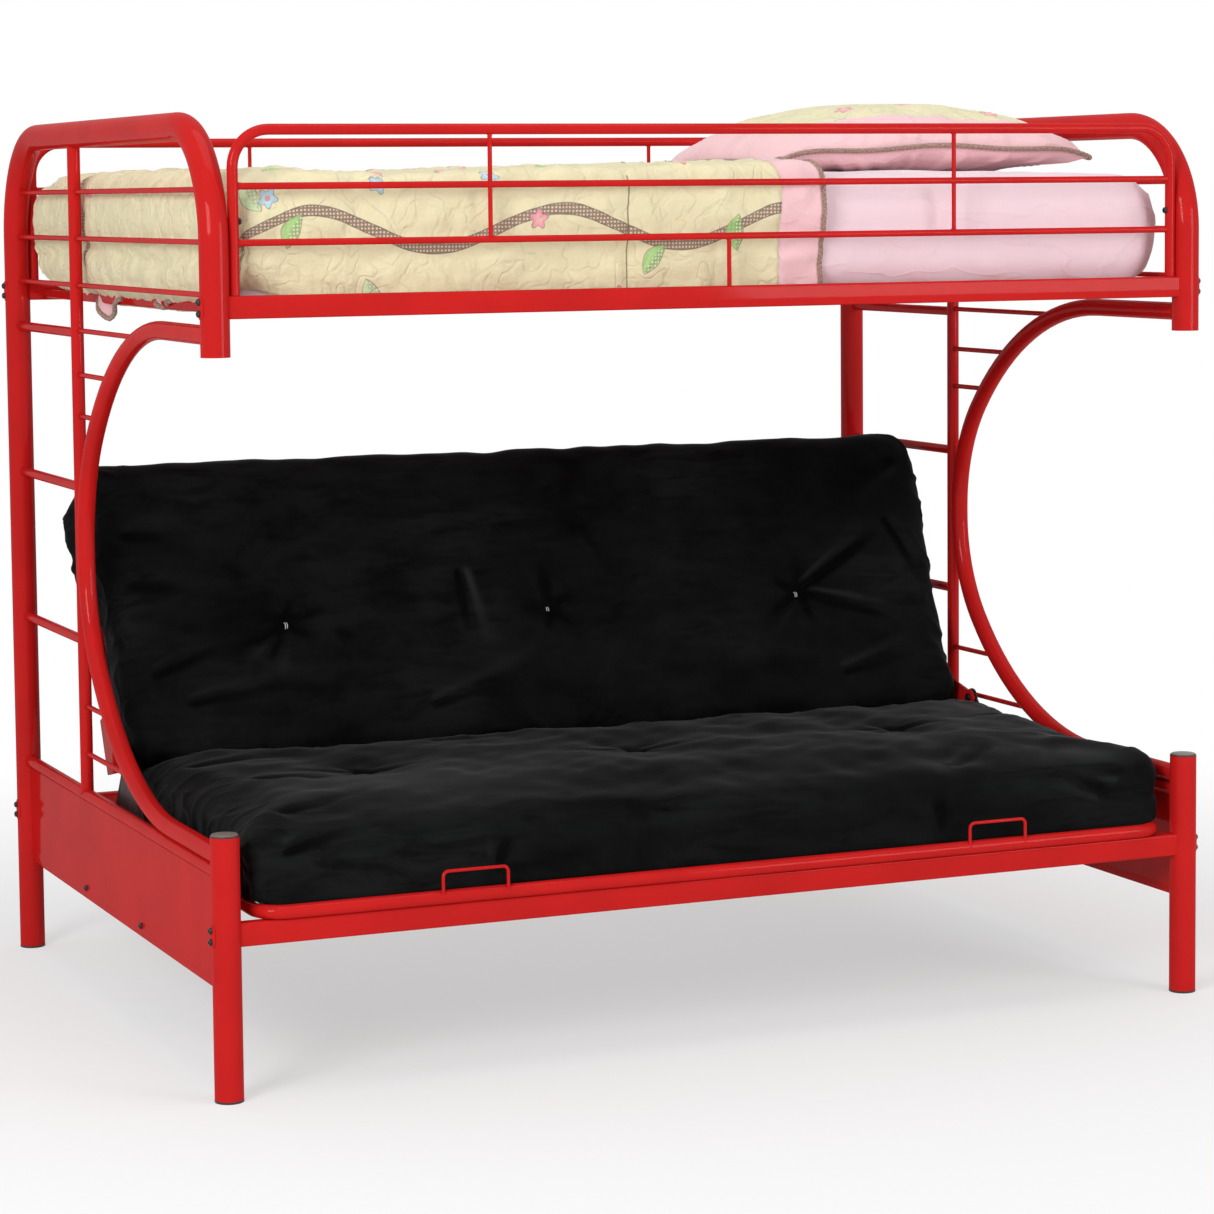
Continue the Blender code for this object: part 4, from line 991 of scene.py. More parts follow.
class BED_OT_rails(bpy.types.Operator):
    """Side rails with their lips, base rails and the slatted deck"""

    bl_idname = "bed.rails"
    bl_label = "Rails and deck"

    def execute(self, context):
        end = half_x - post_radius + 0.0045
        for y, label in long_sides:
            inward = 1 if y < 0 else -1
            for kind, (low, high) in (("side_rail", side_rail_z), ("base_rail", base_rail_z)):
                outline = round_rectangle((y, (low + high) / 2), (2 * rail_half, high - low), 0.0035)
                shapes = [lofted(outline, -end, end, "x")]
                if kind == "side_rail":
                    lip_y = y + inward * (rail_half + rail_lip_width / 2 - 0.001)
                    strip = round_rectangle((lip_y, low + rail_lip_thickness / 2 + 0.0003),
                                            (rail_lip_width + 0.002, rail_lip_thickness), 0.0012, 2)
                    shapes.append(lofted(strip, -deck_end_x, deck_end_x, "x"))
                outward(painted(f"{kind}_tube_{label}", shapes, f"{kind}_{label}"))
        self.deck(context.scene.bed_sizes.deck_slats)
        return {"FINISHED"}

    def deck(self, slats):
        """Slats of the upper bunk on two runners."""
        width, height = 0.030, 0.018
        middle_z = mattress_bottom_z - 0.0006 - height / 2
        runner_end = deck_end_x - 0.001
        runners = []
        for y in (-0.340, 0.340):
            outline = round_rectangle((y, middle_z), (height - 0.001, height - 0.001), 0.002, 3)
            runners.append(lofted(outline, -runner_end, runner_end, "x"))
        made = raw_object("slatted_deck", *merged(runners))
        reach = back_y - rail_half - 0.0006
        step = (2 * deck_end_x - width) / (slats - 1)
        grown(made, "Row of slats", {
            "Count": slats, "Width": width, "Height": height, "Length": 2 * reach, "Corner": 0.003,
            "First": (-deck_end_x + width / 2, -reach, middle_z), "Step": (step, 0.0, 0.0),
            "Material": finish_of("paint")})
        dress(made, "paint", "bed", ("upper_deck",), "red_paint")


class BED_OT_guards(bpy.types.Operator):
    """Guard rails of both long sides with their bars, uprights and bolts"""

    bl_idname = "bed.guards"
    bl_label = "Guard rails"

    def execute(self, context):
        foot_z = side_rail_z[1] + 0.0003
        low_bar_z = guard_bar_heights[0]
        for y, label in long_sides:
            corners = [(-guard_x, y, foot_z), (-guard_x, y, guard_top_z), (guard_x, y, guard_top_z),
                       (guard_x, y, foot_z)]
            shapes = [sweep(rounded(corners, guard_bend_radius, 12), guard_radius, 24)]
            loops = []
            for z in guard_bar_heights:
                shapes.append(bar((-guard_x, y, z), (guard_x, y, z), guard_bar_radius, 18))
                for s in (-1, 1):
                    loops.append(weld_loop((s * guard_x, y, z), (-s, 0, 0), (0, 1, 0), guard_bar_radius,
                                           guard_radius, 14))
            outer = (low_bar_z, guard_top_z, guard_radius)
            for x, low, high, host_above in ((-guard_upright_x, *outer), (guard_upright_x, *outer),
                                             (0.0, foot_z, low_bar_z, guard_bar_radius)):
                shapes.append(bar((x, y, low), (x, y, high), guard_upright_radius, 14))
                if low > foot_z:
                    loops.append(self.upright_weld((x, y, low), 1, guard_bar_radius))
                loops.append(self.upright_weld((x, y, high), -1, host_above))
            painted("guard_tube_" + label, shapes, "guard_rail_" + label)
            weld_beads("guard_welds_" + label, loops)
        bolt_x = guard_x - guard_radius - 0.0002
        places = []
        nodes = []
        for side, label in ends:
            for y, where in long_sides:
                places.append(((side * bolt_x, y, guard_bolt_z), (-side, 0.0, 0.0)))
                nodes.append(f"guard_bolt_{where}_{label}")
        bolts("guard_bolt_heads", places, 0.0062, nodes)
        return {"FINISHED"}

    def upright_weld(self, place, way, host_radius):
        """Weld loop of an upright that leaves a bar upward (1) or downward (-1)."""
        return weld_loop(place, (0, 0, way), (0, 1, 0), guard_upright_radius, host_radius, 10)


class BED_OT_fittings(bpy.types.Operator):
    """Saddle plates with bolts, post caps, plugs, feet, hinge brackets and pivot bolts"""

    bl_idname = "bed.fittings"
    bl_label = "Fittings"

    # Radius and height along each turned profile
    dome = ((0.0215, 0.0), (0.0232, 0.0012), (0.0232, 0.0030), (0.0222, 0.0043), (0.018, 0.0050),
            (0.010, 0.0054), (0.0004, 0.0055))
    foot = ((0.0255, 0.0), (0.0258, 0.0008), (0.0258, 0.0034), (0.0250, 0.0040))
    plug = ((0.0004, 0.0004), (0.0180, 0.0004), (0.0200, -0.0012), (0.0238, 0.0), (0.0236, 0.018))
    shadow_ring_radius = 0.0236
    shadow_ring_thickness = 0.0017

    def execute(self, context):
        places = []
        for side, label in ends:
            x = side * half_x
            for kind, heights in (("upper_saddle", side_rail_z), ("base_saddle", base_rail_z)):
                z = sum(heights) / 2
                for y, where in long_sides:
                    self.saddle(f"{kind}_plate_{where}_{label}", x, y, z, side, f"{kind}_{where}_{label}")
                    for offset in (-0.010, 0.010):
                        places.append(((x + side * (post_radius + 0.0020), y, z + offset), (side, 0.0, 0.0)))
            for y in bracket_bolts_y:
                places.append(((x + side * 0.0024, y, bracket_bolts_z), (side, 0.0, 0.0)))
            piece("cap_dome_" + label, [revolved(self.dome, (x, front_y, front_post_top_z))], "cap",
                  stands_for=("post_cap_" + label,), slot="cap_plastic")
            # Painted shadow: a thin black ring at the foot of the cap stands for the shaded gap under its
            # rim.
            ring = [(x + a, front_y + b, front_post_top_z + 0.0012) for a, b in circle(self.shadow_ring_radius, 48)]
            self.plastic("cap_ring_" + label, sweep(ring, self.shadow_ring_thickness, 10, closed=True))
            for y, where in long_sides:
                foot = revolved(self.foot, (x, y, 0.0))
                self.plastic(f"{where}_foot_cap_{label}", foot, f"{where}_foot_{label}")
            plug = revolved(self.plug, (x, front_y, stub_bottom_z + 0.004))
            outward(self.plastic("stub_plug_cap_" + label, plug, "stub_plug_" + label))
            refined("bracket_plate_" + label, "hinge_bracket_" + label, "steel")
            refined("pivot_" + label, "pivot_bolt_" + label, "steel")
        bolts("saddle_and_panel_bolts", places, context.scene.bed_sizes.bolt_head)
        return {"FINISHED"}

    def plastic(self, name, shape, node=None):
        """Piece of black plastic."""
        return piece(name, [shape], "plastic", stands_for=(node,) if node else (), slot="black_plastic")

    def saddle(self, name, x, y, z, side, node):
        """Curved plate with rounded outline and soft edges, wrapped round a post."""
        rows, columns = 19, 15
        half_height, half_angle, thickness = 0.020, radians(27.0), 0.0018
        points = []
        for layer in (0, 1):
            for v in np.linspace(-1, 1, rows):
                for u in np.linspace(-1, 1, columns):
                    squeeze = 1 - max(0.0, abs(v) - 0.45) ** 2 / 0.55
                    edge = max(abs(u), abs(v)) ** 10
                    radius = post_radius + 0.0002 + layer * thickness * (1 - 0.6 * edge)
                    angle = half_angle * u * squeeze
                    a, b = radius * cos(angle), radius * sin(angle)
                    points.append((x + side * a, y + b, z + half_height * v))
        count = rows * columns
        last = count - columns
        faces = grid_faces(rows, columns) + grid_faces(rows, columns, count)
        rim = list(range(columns)) + list(range(2 * columns - 1, count, columns))
        rim += list(range(count - 2, last - 1, -1)) + list(range(last - columns, 0, -columns))
        for a, b in zip(rim, rim[1:] + rim[:1]):
            faces.append((a, b, count + b, count + a))
        outward(painted(name, [(points, faces)], node, sharp=50.0))


def turned_back(shapes):
    """Shapes that are described lying flat, turned up about the hinge line into the sofa position."""
    turn = Matrix.Translation(hinge) @ Matrix.Rotation(recline_angle, 4, "X") @ Matrix.Translation(-hinge)
    return [([turn @ Vector(p) for p in points], faces) for points, faces in shapes]


class BED_OT_sofa_frames(bpy.types.Operator):
    """Seat frame with its wire retainers, and back frame with its hinge plates"""

    bl_idname = "bed.sofa_frames"
    bl_label = "Sofa frames"

    def execute(self, context):
        seat = self.tubes(seat_rear_y, seat_front_y)
        wires = [((low, retainer_y), (high, retainer_y)) for low, high in retainer_spans_x]
        side_x = sofa_side_x + sofa_tube_radius - retainer_radius
        wires += [tuple((x, y) for y in side_retainer_span_y) for x in (-side_x, side_x)]
        for (x, y), (far_x, far_y) in wires:
            corners = [(x, y, sofa_tube_z), (x, y, retainer_top_z), (far_x, far_y, retainer_top_z),
                       (far_x, far_y, sofa_tube_z)]
            seat.append(sweep(rounded(corners, 0.010, 8), retainer_radius, 14))
        painted("seat_tubes", seat, "seat_frame")
        painted("back_tubes", turned_back(self.tubes(back_start_y, back_end_y)), body="sofa_back")
        plates = refined("hinge_plates", "back_frame", "paint", "sofa_back", "red_paint")
        reshaped(plates, self.keep_plates)
        return {"FINISHED"}

    def tubes(self, cross_y, far_y):
        """Bent tube, cross tube and slats, lying flat."""
        x, z = sofa_side_x, sofa_tube_z
        end_y = cross_y + (cross_tube_radius if cross_y > far_y else -cross_tube_radius)
        line = rounded([(-x, end_y, z), (-x, far_y, z), (x, far_y, z), (x, end_y, z)], sofa_corner_radius, 12)
        made = [sweep(line, sofa_tube_radius, 28),
                bar((-x, cross_y, z), (x, cross_y, z), cross_tube_radius, 24)]
        slat_width, slat_height = 0.030, 0.004
        pitch = 2 * sofa_side_x / (sofa_slat_count + 1)
        for i in range(1, sofa_slat_count + 1):
            outline = round_rectangle((i * pitch - sofa_side_x, z), (slat_width, slat_height), 0.0018, 3)
            made.append(lofted(outline, *sorted((cross_y, far_y)), "y"))
        return made

    def keep_plates(self, shape):
        """Of the refined back frame keep only the hinge plates, as the new tubes stand for the rest."""
        edge = sofa_side_x + sofa_tube_radius - 0.0012
        for x in (edge, -edge):
            bmesh.ops.bisect_plane(shape, geom=shape.verts[:] + shape.edges[:] + shape.faces[:],
                                   plane_co=(x, 0, 0), plane_no=(1, 0, 0))
        inner = [f for f in shape.faces if abs(f.calc_center_median().x) < edge]
        bmesh.ops.delete(shape, geom=inner, context="FACES")
        bmesh.ops.delete(shape, geom=[v for v in shape.verts if not v.link_faces], context="VERTS")
        bmesh.ops.holes_fill(shape, edges=[e for e in shape.edges if e.is_boundary], sides=0)


# Soft pieces


def smooth_noise(points, length, seed):
    """Smooth noise of about that wave length, with a spread of about 1."""
    count = 24
    random = np.random.default_rng(seed)
    heading = random.normal(size=(count, 3))
    heading /= np.linalg.norm(heading, axis=1)[:, None]
    waves = heading * (2 * pi / length) * random.uniform(0.6, 1.4, size=(count, 1))
    phase = random.uniform(0, 2 * pi, size=count)
    return np.sin(points @ waves.T + phase).sum(axis=1) / sqrt(count / 2)


def ridges(points, length, seed, steepness, lowest=0.0):
    """Thin ridges where smooth noise passes through zero, 1 high."""
    return np.clip(1 - steepness * np.abs(smooth_noise(points, length, seed)), lowest, 1)


def share(value, width):
    """0 below zero, 1 above a width, and straight in between."""
    return np.clip(value / width, 0, 1)


def bell(*distances, width):
    """1 where all the distances are zero, falling off smoothly over the width."""
    return np.exp(-sum(distance ** 2 for distance in distances) / width ** 2)


def vertex_vectors(made, values, key):
    """One vector of each vertex, as an array."""
    flat = np.empty(len(made.data.vertices) * 3)
    values.foreach_get(key, flat)
    return flat.reshape(-1, 3)


def coordinates(made):
    """Vertex positions as an array."""
    return vertex_vectors(made, made.data.vertices, "co")


def normals(made):
    """Vertex normals as an array."""
    return vertex_vectors(made, made.data.vertex_normals, "vector")


def put_back(made, points):
    """Write vertex positions."""
    made.data.vertices.foreach_set("co", points.astype(np.float32).ravel())
    made.data.update()


def remeshed(made, voxel):
    """Even mesh all over, ready for the cloth."""
    modified(made, "Even mesh", "REMESH", mode="VOXEL", voxel_size=voxel)
    smoothed(made, 3)


def smoothed(made, repeat):
    """Relax the surface."""
    modified(made, "Relax", "SMOOTH", factor=0.5, iterations=repeat)


def subdivided(made):
    """Four faces for each one."""
    modified(made, "Finer", "SUBSURF", levels=1, render_levels=1)


def inflated(made, held, pressure, most):
    """Blow the cover up as cloth round its filling. held is the pinned weight of each point."""
    start = coordinates(made)
    frame_count = 20
    pins = made.vertex_groups.new(name="held")
    for index in np.nonzero(held > 0.01)[0]:
        pins.add([int(index)], float(min(1.0, held[index])), "REPLACE")
    cloth = made.modifiers.new("Cover", "CLOTH")
    cloth.settings.use_pressure = True
    cloth.settings.uniform_pressure_force = pressure
    cloth.settings.vertex_group_mass = "held"
    cloth.settings.quality = 4
    cloth.settings.tension_stiffness = 12
    cloth.settings.compression_stiffness = 12
    cloth.settings.bending_stiffness = 0.6
    cloth.settings.effector_weights.gravity = 0.0
    cloth.collision_settings.use_collision = False
    cloth.point_cache.frame_start = 1
    cloth.point_cache.frame_end = frame_count
    for step in range(1, frame_count + 1):
        bpy.context.scene.frame_set(step)
    keep_result(made)
    bpy.context.scene.frame_set(1)
    made.vertex_groups.clear()
    moved = coordinates(made) - start
    reach = np.linalg.norm(moved, axis=1)
    moved *= (np.minimum(reach, most) / np.maximum(reach, 1e-9))[:, None]
    put_back(made, start + moved)


def filleted(corners):
    """Closed outline through (corner, radius) pairs, each corner turned into an arc."""
    made = []
    for i, (corner, radius) in enumerate(corners):
        after = corners[(i + 1) % len(corners)][0]
        made.extend(corner_arc(corners[i - 1][0], corner, after, radius, 6))
    return made


def cushioned(outline, half, rim):
    """Closed shape with that outline across X, whose ends are rounded by the rim radius."""
    count = len(outline)
    inward = []
    for i in range(count):
        along = (outline[(i + 1) % count] - outline[i - 1]).normalized()
        inward.append(Vector((0.0, along.z, -along.y)))
    stations = [(rim * (1 - cos(a)), half - rim + rim * sin(a)) for a in np.linspace(0, radians(75), 7)]
    rings = [(inset, -x) for inset, x in reversed(stations)] + stations
    points = [Vector((x, p.y, p.z)) + n * inset for inset, x in rings for p, n in zip(outline, inward)]
    return points, side_faces(len(rings), count) + end_faces(len(rings), count)


def crease(pts, nrm, place, heading, face, length, width, depth):
    """Depth of a fold from a place along a heading on a face: a valley with a soft ridge beside it."""
    away = pts - np.array(place)
    along = away @ heading
    beside = away @ np.cross(face, heading)
    spread = width * (1 + 1.6 * np.clip(along, 0, None) / length)
    fade = share(along, 0.02) * np.clip(1 - along / length, 0, 1) ** 0.8
    near = (np.abs(away @ face) < 0.06) * np.clip(nrm @ face, 0, 1)
    valley = bell(beside, width=spread)
    ridge = bell(beside - 1.9 * spread, width=1.2 * spread)
    return (0.55 * ridge - valley) * fade * near * depth


def creases(pts, nrm, rows, second, face, width, depth):
    """Depth of a face's folds. Rows give place, angle from X to the second axis, length and strength."""
    lift = np.zeros(len(pts))
    for place, angle, length, strength in rows:
        heading = np.array((cos(radians(angle)), 0.0, 0.0)) + second * sin(radians(angle))
        lift += crease(pts, nrm, place, heading, face, length, width, depth * strength)
    return lift


class BED_OT_sofa_mattress(bpy.types.Operator):
    """Tufted suede mattress that runs from the seat over the fold to the back"""

    bl_idname = "bed.sofa_mattress"
    bl_label = "Sofa mattress"

    # Directions of the back cushion, and the underside of the seat cushion
    up = Vector((0.0, cos(recline_angle), sin(recline_angle)))
    out = Vector((0.0, -sin(recline_angle), cos(recline_angle)))
    low_z = sofa_tube_z + sofa_tube_radius + 0.0005

    # Where tufts lie along X, and how far from the fold on the seat and on the back
    tuft_xs = (-0.562, 0.0, 0.568)
    seat_tuft_y = -0.250
    back_tuft_reach = 0.262

    # Angle, length and strength of each tuft's folds
    seat_rays = ((0, 0.13, 0.8), (178, 0.14, 0.9), (40, 0.08, 0.5), (222, 0.09, 0.6), (-62, 0.07, 0.4),
                 (120, 0.08, 0.5))
    back_rays = (
        ((205, 0.15, 1.0), (238, 0.12, 0.8), (150, 0.08, 0.5), (18, 0.11, 0.6), (-35, 0.08, 0.5),
         (72, 0.06, 0.5)),
        ((93, 0.10, 0.9), (-42, 0.09, 0.6), (182, 0.07, 0.5), (22, 0.08, 0.5), (-100, 0.07, 0.5)),
        ((30, 0.24, 1.2), (-20, 0.24, 1.2), (214, 0.12, 0.8), (84, 0.08, 0.6), (150, 0.07, 0.5),
         (-72, 0.10, 0.6)))

    # Place on the face, angle, length and strength of the other folds
    back_folds = ((-0.190, 0.36, -88, 0.18, 1.2), (-0.86, 0.16, 20, 0.22, 0.7), (-0.80, 0.10, 8, 0.34, 0.6),
                  (-0.30, 0.06, 15, 0.28, 0.6), (0.62, 0.07, 12, 0.25, 0.7), (0.80, 0.42, -65, 0.20, 0.7),
                  (-0.88, 0.36, -12, 0.14, 0.6), (-0.88, 0.46, -8, 0.12, 0.6), (0.86, 0.55, 205, 0.16, 0.5))
    seat_folds = ((-0.84, -0.60, 28, 0.30, 0.8), (-0.80, -0.30, -10, 0.24, 0.8), (0.50, -0.62, 35, 0.22, 0.7),
                  (0.84, -0.45, 160, 0.25, 0.8), (0.10, 0.0, 10, 0.26, 0.8), (-0.35, -0.03, 5, 0.24, 0.6),
                  (0.86, -0.20, 190, 0.20, 0.7), (-0.86, -0.10, 12, 0.30, 0.7))
    front_folds = ((0.80, 0.40, 152, 0.16, 1.0), (0.84, 0.44, 170, 0.20, 0.8), (0.44, 0.36, 100, 0.08, 0.7),
                   (-0.46, 0.36, 70, 0.08, 0.8), (-0.86, 0.42, 15, 0.22, 0.8), (-0.10, 0.44, 172, 0.30, 0.5))

    # Centre, width along X and across it, and strength of patches placed on the nap: a painted highlight
    # where the strength is above zero and a painted shade where it is below
    pale_and_dark_patches = (((-0.52, -0.40, 0.48), (0.30, 0.18), 1.05), ((0.05, -0.20, 0.48), (0.35, 0.10), 0.45),
               ((0.80, -0.62, 0.47), (0.12, 0.06), 0.80), ((0.80, -0.05, 0.48), (0.20, 0.08), 0.70),
               ((0.20, -0.72, 0.39), (0.90, 0.06), -0.45), ((0.72, 0.30, 0.95), (0.26, 0.16), -0.55),
               ((-0.85, 0.25, 0.85), (0.12, 0.30), -0.30), ((0.10, 0.15, 0.62), (0.60, 0.09), 0.28),
               ((-0.40, 0.25, 0.85), (0.35, 0.16), 0.16))

    def execute(self, context):
        pad = self.blank(context.scene.bed_sizes.pad_thickness)
        y, z = coordinates(pad).T[1:]
        at_fold = bell(y - hinge.y - 0.016, z - hinge.z + 0.026, width=0.016) > 0.4
        underside = (normals(pad)[:, 2] < -0.7) & (z < self.low_z + 0.03)
        inflated(pad, np.maximum(1.0 * at_fold, 0.6 * underside), 3.6, 0.018)
        smoothed(pad, 3)
        subdivided(pad)
        put_back(pad, self.fitted(self.wrinkles(pad, coordinates(pad))))
        dress(pad, "suede", None, ("sofa_seat_pad", "sofa_back_pad"), "black_suede", all_smooth)
        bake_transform(pad)
        self.threads(context.scene.bed_sizes.tuft_depth)
        return {"FINISHED"}

    def blank(self, thickness):
        """Even mesh of the mattress before its cover is blown up."""
        low, front, length, inset = self.low_z + 0.002, -0.701, 0.647, 0.008
        top = hinge.z - 0.006
        far = hinge + self.up * length
        bisector = (self.out + Vector((0, 0, 1))).normalized()
        corners = [(Vector((0, front, low)), 0.022), (Vector((0, front, top)), 0.058),
                   (Vector((0, hinge.y - 0.062, top)), 0.030), (hinge - bisector * 0.036, 0.006),
                   (hinge + self.up * 0.062 - self.out * inset, 0.030), (far - self.out * inset, 0.052),
                   (far - self.out * (thickness - 0.002), 0.052)]
        heel = thickness - 0.006
        corners += [(hinge + Vector((0, cos(a), sin(a))) * heel, 0.010)
                    for a in np.linspace(recline_angle - pi / 2, -pi / 2, 5)]
        corners.append((Vector((0, hinge.y - 0.05, low)), 0.010))
        pad = raw_object("sofa_mattress", *cushioned(filleted(corners), 0.930, 0.038))
        outward(pad)
        remeshed(pad, 0.0125)
        return pad

    def tufts(self):
        """Centre and outward axis of each tuft on the top faces, by turns on the seat and on the back."""
        made = []
        for x in self.tuft_xs:
            made.append(((x, self.seat_tuft_y, hinge.z), (0.0, 0.0, 1.0)))
            made.append((tuple(Vector((x, 0, 0)) + hinge + self.up * self.back_tuft_reach), tuple(self.out)))
        return made

    def fitted(self, pts):
        """Keep clear of the frame's plates and wires, and sag onto the tube and slats under the seat."""
        x, y, z = pts.T
        up, out, fold = np.array(self.up), np.array(self.out), np.array(hinge)
        along = (pts - fold) @ up
        deep = (fold - pts) @ out
        away = np.hypot(y - hinge.y, z - hinge.z)
        low, high = side_retainer_span_y
        beside_wires = share(low - 0.02 - y, 0.04) + share(y - high - 0.02, 0.04)
        above_wires = share(z - 0.368, 0.03)
        behind = share(along - 0.30, 0.10) * share(0.60 - along, 0.05) * share(y - 0.24, 0.06)
        corner = share(-0.45 - y, 0.15) * share(z - 0.39, 0.03)
        bulge = behind * (0.014 + 0.036 * share(deep - 0.070, 0.050)) + 0.014 * corner
        x *= 1 + bulge * (np.abs(x) / 0.93) ** 10
        limit = 0.9135 + 0.025 * share(away - 0.15, 0.12) + 0.0150 * behind
        seat_limit = 0.909 + np.maximum(0.0295 * above_wires, 0.016 * beside_wires)
        limit = np.minimum(limit, np.where(y < 0.0, seat_limit, 1.0))
        x[:] = np.clip(x, -limit, limit)
        y[:] = np.maximum(y, -0.7105 - 0.012 * share(z - 0.385, 0.03))
        inside = (y > seat_front_y - 0.004) & (y < seat_rear_y - 0.02)
        inside &= np.abs(x) < sofa_side_x - sofa_tube_radius - 0.004
        tube = np.sqrt(np.clip(0.0131 ** 2 - (y - seat_front_y) ** 2, 0, None))
        rest = sofa_tube_z + np.where(tube > 0, tube, 0.0045)
        rest = np.where(inside, rest, self.low_z)
        sag = share(0.372 - z, 0.030) ** 1.2 * (y < 0.0)
        z[:] = z * (1 - sag) + rest * sag
        z[:] = np.where(y < 0.0, z, np.maximum(z, self.low_z))
        between = share(along - 0.055, 0.03) * share(0.605 - along, 0.03)
        between *= share(sofa_side_x - 0.018 - np.abs(x), 0.02)
        rear = (fold - pts) @ out - 0.1425 - 0.0085 * between
        pts += np.outer(np.clip(rear, 0, None) * (along > 0.04), out)
        heel = 0.1450 / np.maximum(away, 1e-6)
        below = (y > hinge.y) & ((pts - fold) @ up < 0.05) & (heel < 1)
        for part, middle in ((y, hinge.y), (z, hinge.z)):
            part[:] = np.where(below, middle + (part - middle) * heel, part)
        return pts

    def wrinkles(self, pad, pts):
        """Tufts with their folds, the fold between seat and back, and crumpled ends."""
        nrm = normals(pad)
        depth = bpy.context.scene.bed_sizes.tuft_depth
        lift = np.zeros(len(pts))
        sink = np.zeros_like(pts)
        for number, (centre, axis) in enumerate(self.tufts()):
            axis = np.array(axis)
            away = pts - np.array(centre)
            reach = np.linalg.norm(away - np.outer(away @ axis, axis), axis=1)
            facing = (nrm @ axis > 0.2) & (np.abs(away @ axis) < 0.07)
            drawn_in = 0.40 * depth * np.exp(-(reach / 0.017) ** 1.5) + 0.013 * bell(reach, width=0.10)
            sink -= np.outer(drawn_in * facing, axis)
            rays = self.back_rays[number // 2] if number % 2 else self.seat_rays
            lift += creases(pts, nrm, [(centre, *ray) for ray in rays], np.cross(axis, (1.0, 0.0, 0.0)), axis,
                            0.0065, 0.0062)
        up, upright = np.array(self.up), np.array((0.0, 0.0, 1.0))
        back = [((x, *(hinge + self.up * along).yz), *fold) for x, along, *fold in self.back_folds]
        lift += creases(pts, nrm, back, up, np.array(self.out), 0.008, 0.0052)
        seat = [((x, y, hinge.z), *fold) for x, y, *fold in self.seat_folds]
        lift += creases(pts, nrm, seat, np.array((0.0, 1.0, 0.0)), upright, 0.009, 0.0058)
        front = [((x, -0.715, z), *fold) for x, z, *fold in self.front_folds]
        lift += creases(pts, nrm, front, upright, np.array((0.0, -1.0, 0.0)), 0.008, 0.0058)
        # Painted light from the folds: painted shade, partly pressed nap, in crease valleys and tuft hollows,
        # and a painted highlight, partly worn nap, on crease ridges.
        self.painted_nap_light(pad, pts, lift / 0.0040 - np.linalg.norm(sink, axis=1) ** 2 / 0.020 ** 2)
        x, y, z = pts.T
        lift += 0.0018 * smooth_noise(pts, 0.17, 3) + 0.0009 * smooth_noise(pts, 0.07, 4)
        lift += 0.0032 * share(np.abs(x) - 0.80, 0.12) * ridges(pts * (0.35, 1.0, 1.0), 0.075, 11, 2.2, -0.4)
        near = bell(y - hinge.y, z - hinge.z, width=0.06)
        lift += 0.0035 * near * smooth_noise(pts * (1.0, 0.2, 0.2), 0.26, 12)
        lift += 0.0026 * near * ridges(pts * (1.0, 0.3, 0.3), 0.08, 13, 2.0, -0.3)
        into_fold = np.array((0.0, 0.53, -0.85))
        groove = bell(y - hinge.y - 0.008, z - hinge.z + 0.012, width=0.020)
        sink += np.outer(0.016 * groove * (nrm @ into_fold < 0), into_fold)
        return pts + sink + nrm * lift[:, None]

    def painted_nap_light(self, pad, pts, painted_nap_light):
        """Note at each point the painted light of the suede, from painted shade with pressed nap (-1) to a
        painted highlight with worn nap (1), from the folds and the placed patches.
        """
        x, y, z = pts.T
        for centre, (wide, deep), strength in self.pale_and_dark_patches:
            offsets = ((x - centre[0]) / wide, (y - centre[1]) / deep, (z - centre[2]) / deep)
            painted_nap_light += strength * bell(*offsets, width=1)
        rubbed_nap_and_painted_light = pad.data.attributes.new("rubbed_nap_and_painted_light", "FLOAT", "POINT")
        rubbed_nap_and_painted_light.data.foreach_set("value", np.clip(painted_nap_light, -1, 1).astype(np.float32))

    def threads(self, depth):
        """Short pale stitches at the bottom of each tuft."""
        for body, first in (("bed", 0), ("sofa_back", 1)):
            shapes = []
            for centre, axis in self.tufts()[first::2]:
                centre, axis = Vector(centre), Vector(axis)
                along = axis.cross(Vector((1, 0, 0)))
                for shift in (-0.002, 0.002):
                    base = centre - axis * (depth - 0.016) - along * 0.004 + Vector((shift, 0.0, 0.0))
                    path = [base + along * (0.007 * cos(turn)) + axis * (0.007 * sin(turn))
                            for turn in np.linspace(0, pi, 9)]
                    shapes.append(sweep(path, 0.0009, 8))
            piece("tuft_stitches_" + body, shapes, "thread", body)


def cloth_coordinates(made, flat):
    """Keep flat places on the cloth, one for each vertex, as the UV map."""
    corner = np.empty(len(made.data.loops), np.int32)
    made.data.loops.foreach_get("vertex_index", corner)
    layer = made.data.uv_layers.new(name="Cloth")
    layer.data.foreach_set("uv", flat[corner].astype(np.float32).ravel())


def cloth_grid(name, grid, flat, finish, thickness, **settings):
    """Piece of cloth from a grid of points, with the cloth's own flat coordinates."""
    made = raw_object(name, grid.reshape(-1, 3), grid_faces(*grid.shape[:2]))
    cloth_coordinates(made, flat.reshape(-1, 2))
    modified(made, "Filling", "SOLIDIFY", thickness=thickness, offset=-1.0)
    return dress(made, finish, "bed", sharp=all_smooth, **settings)


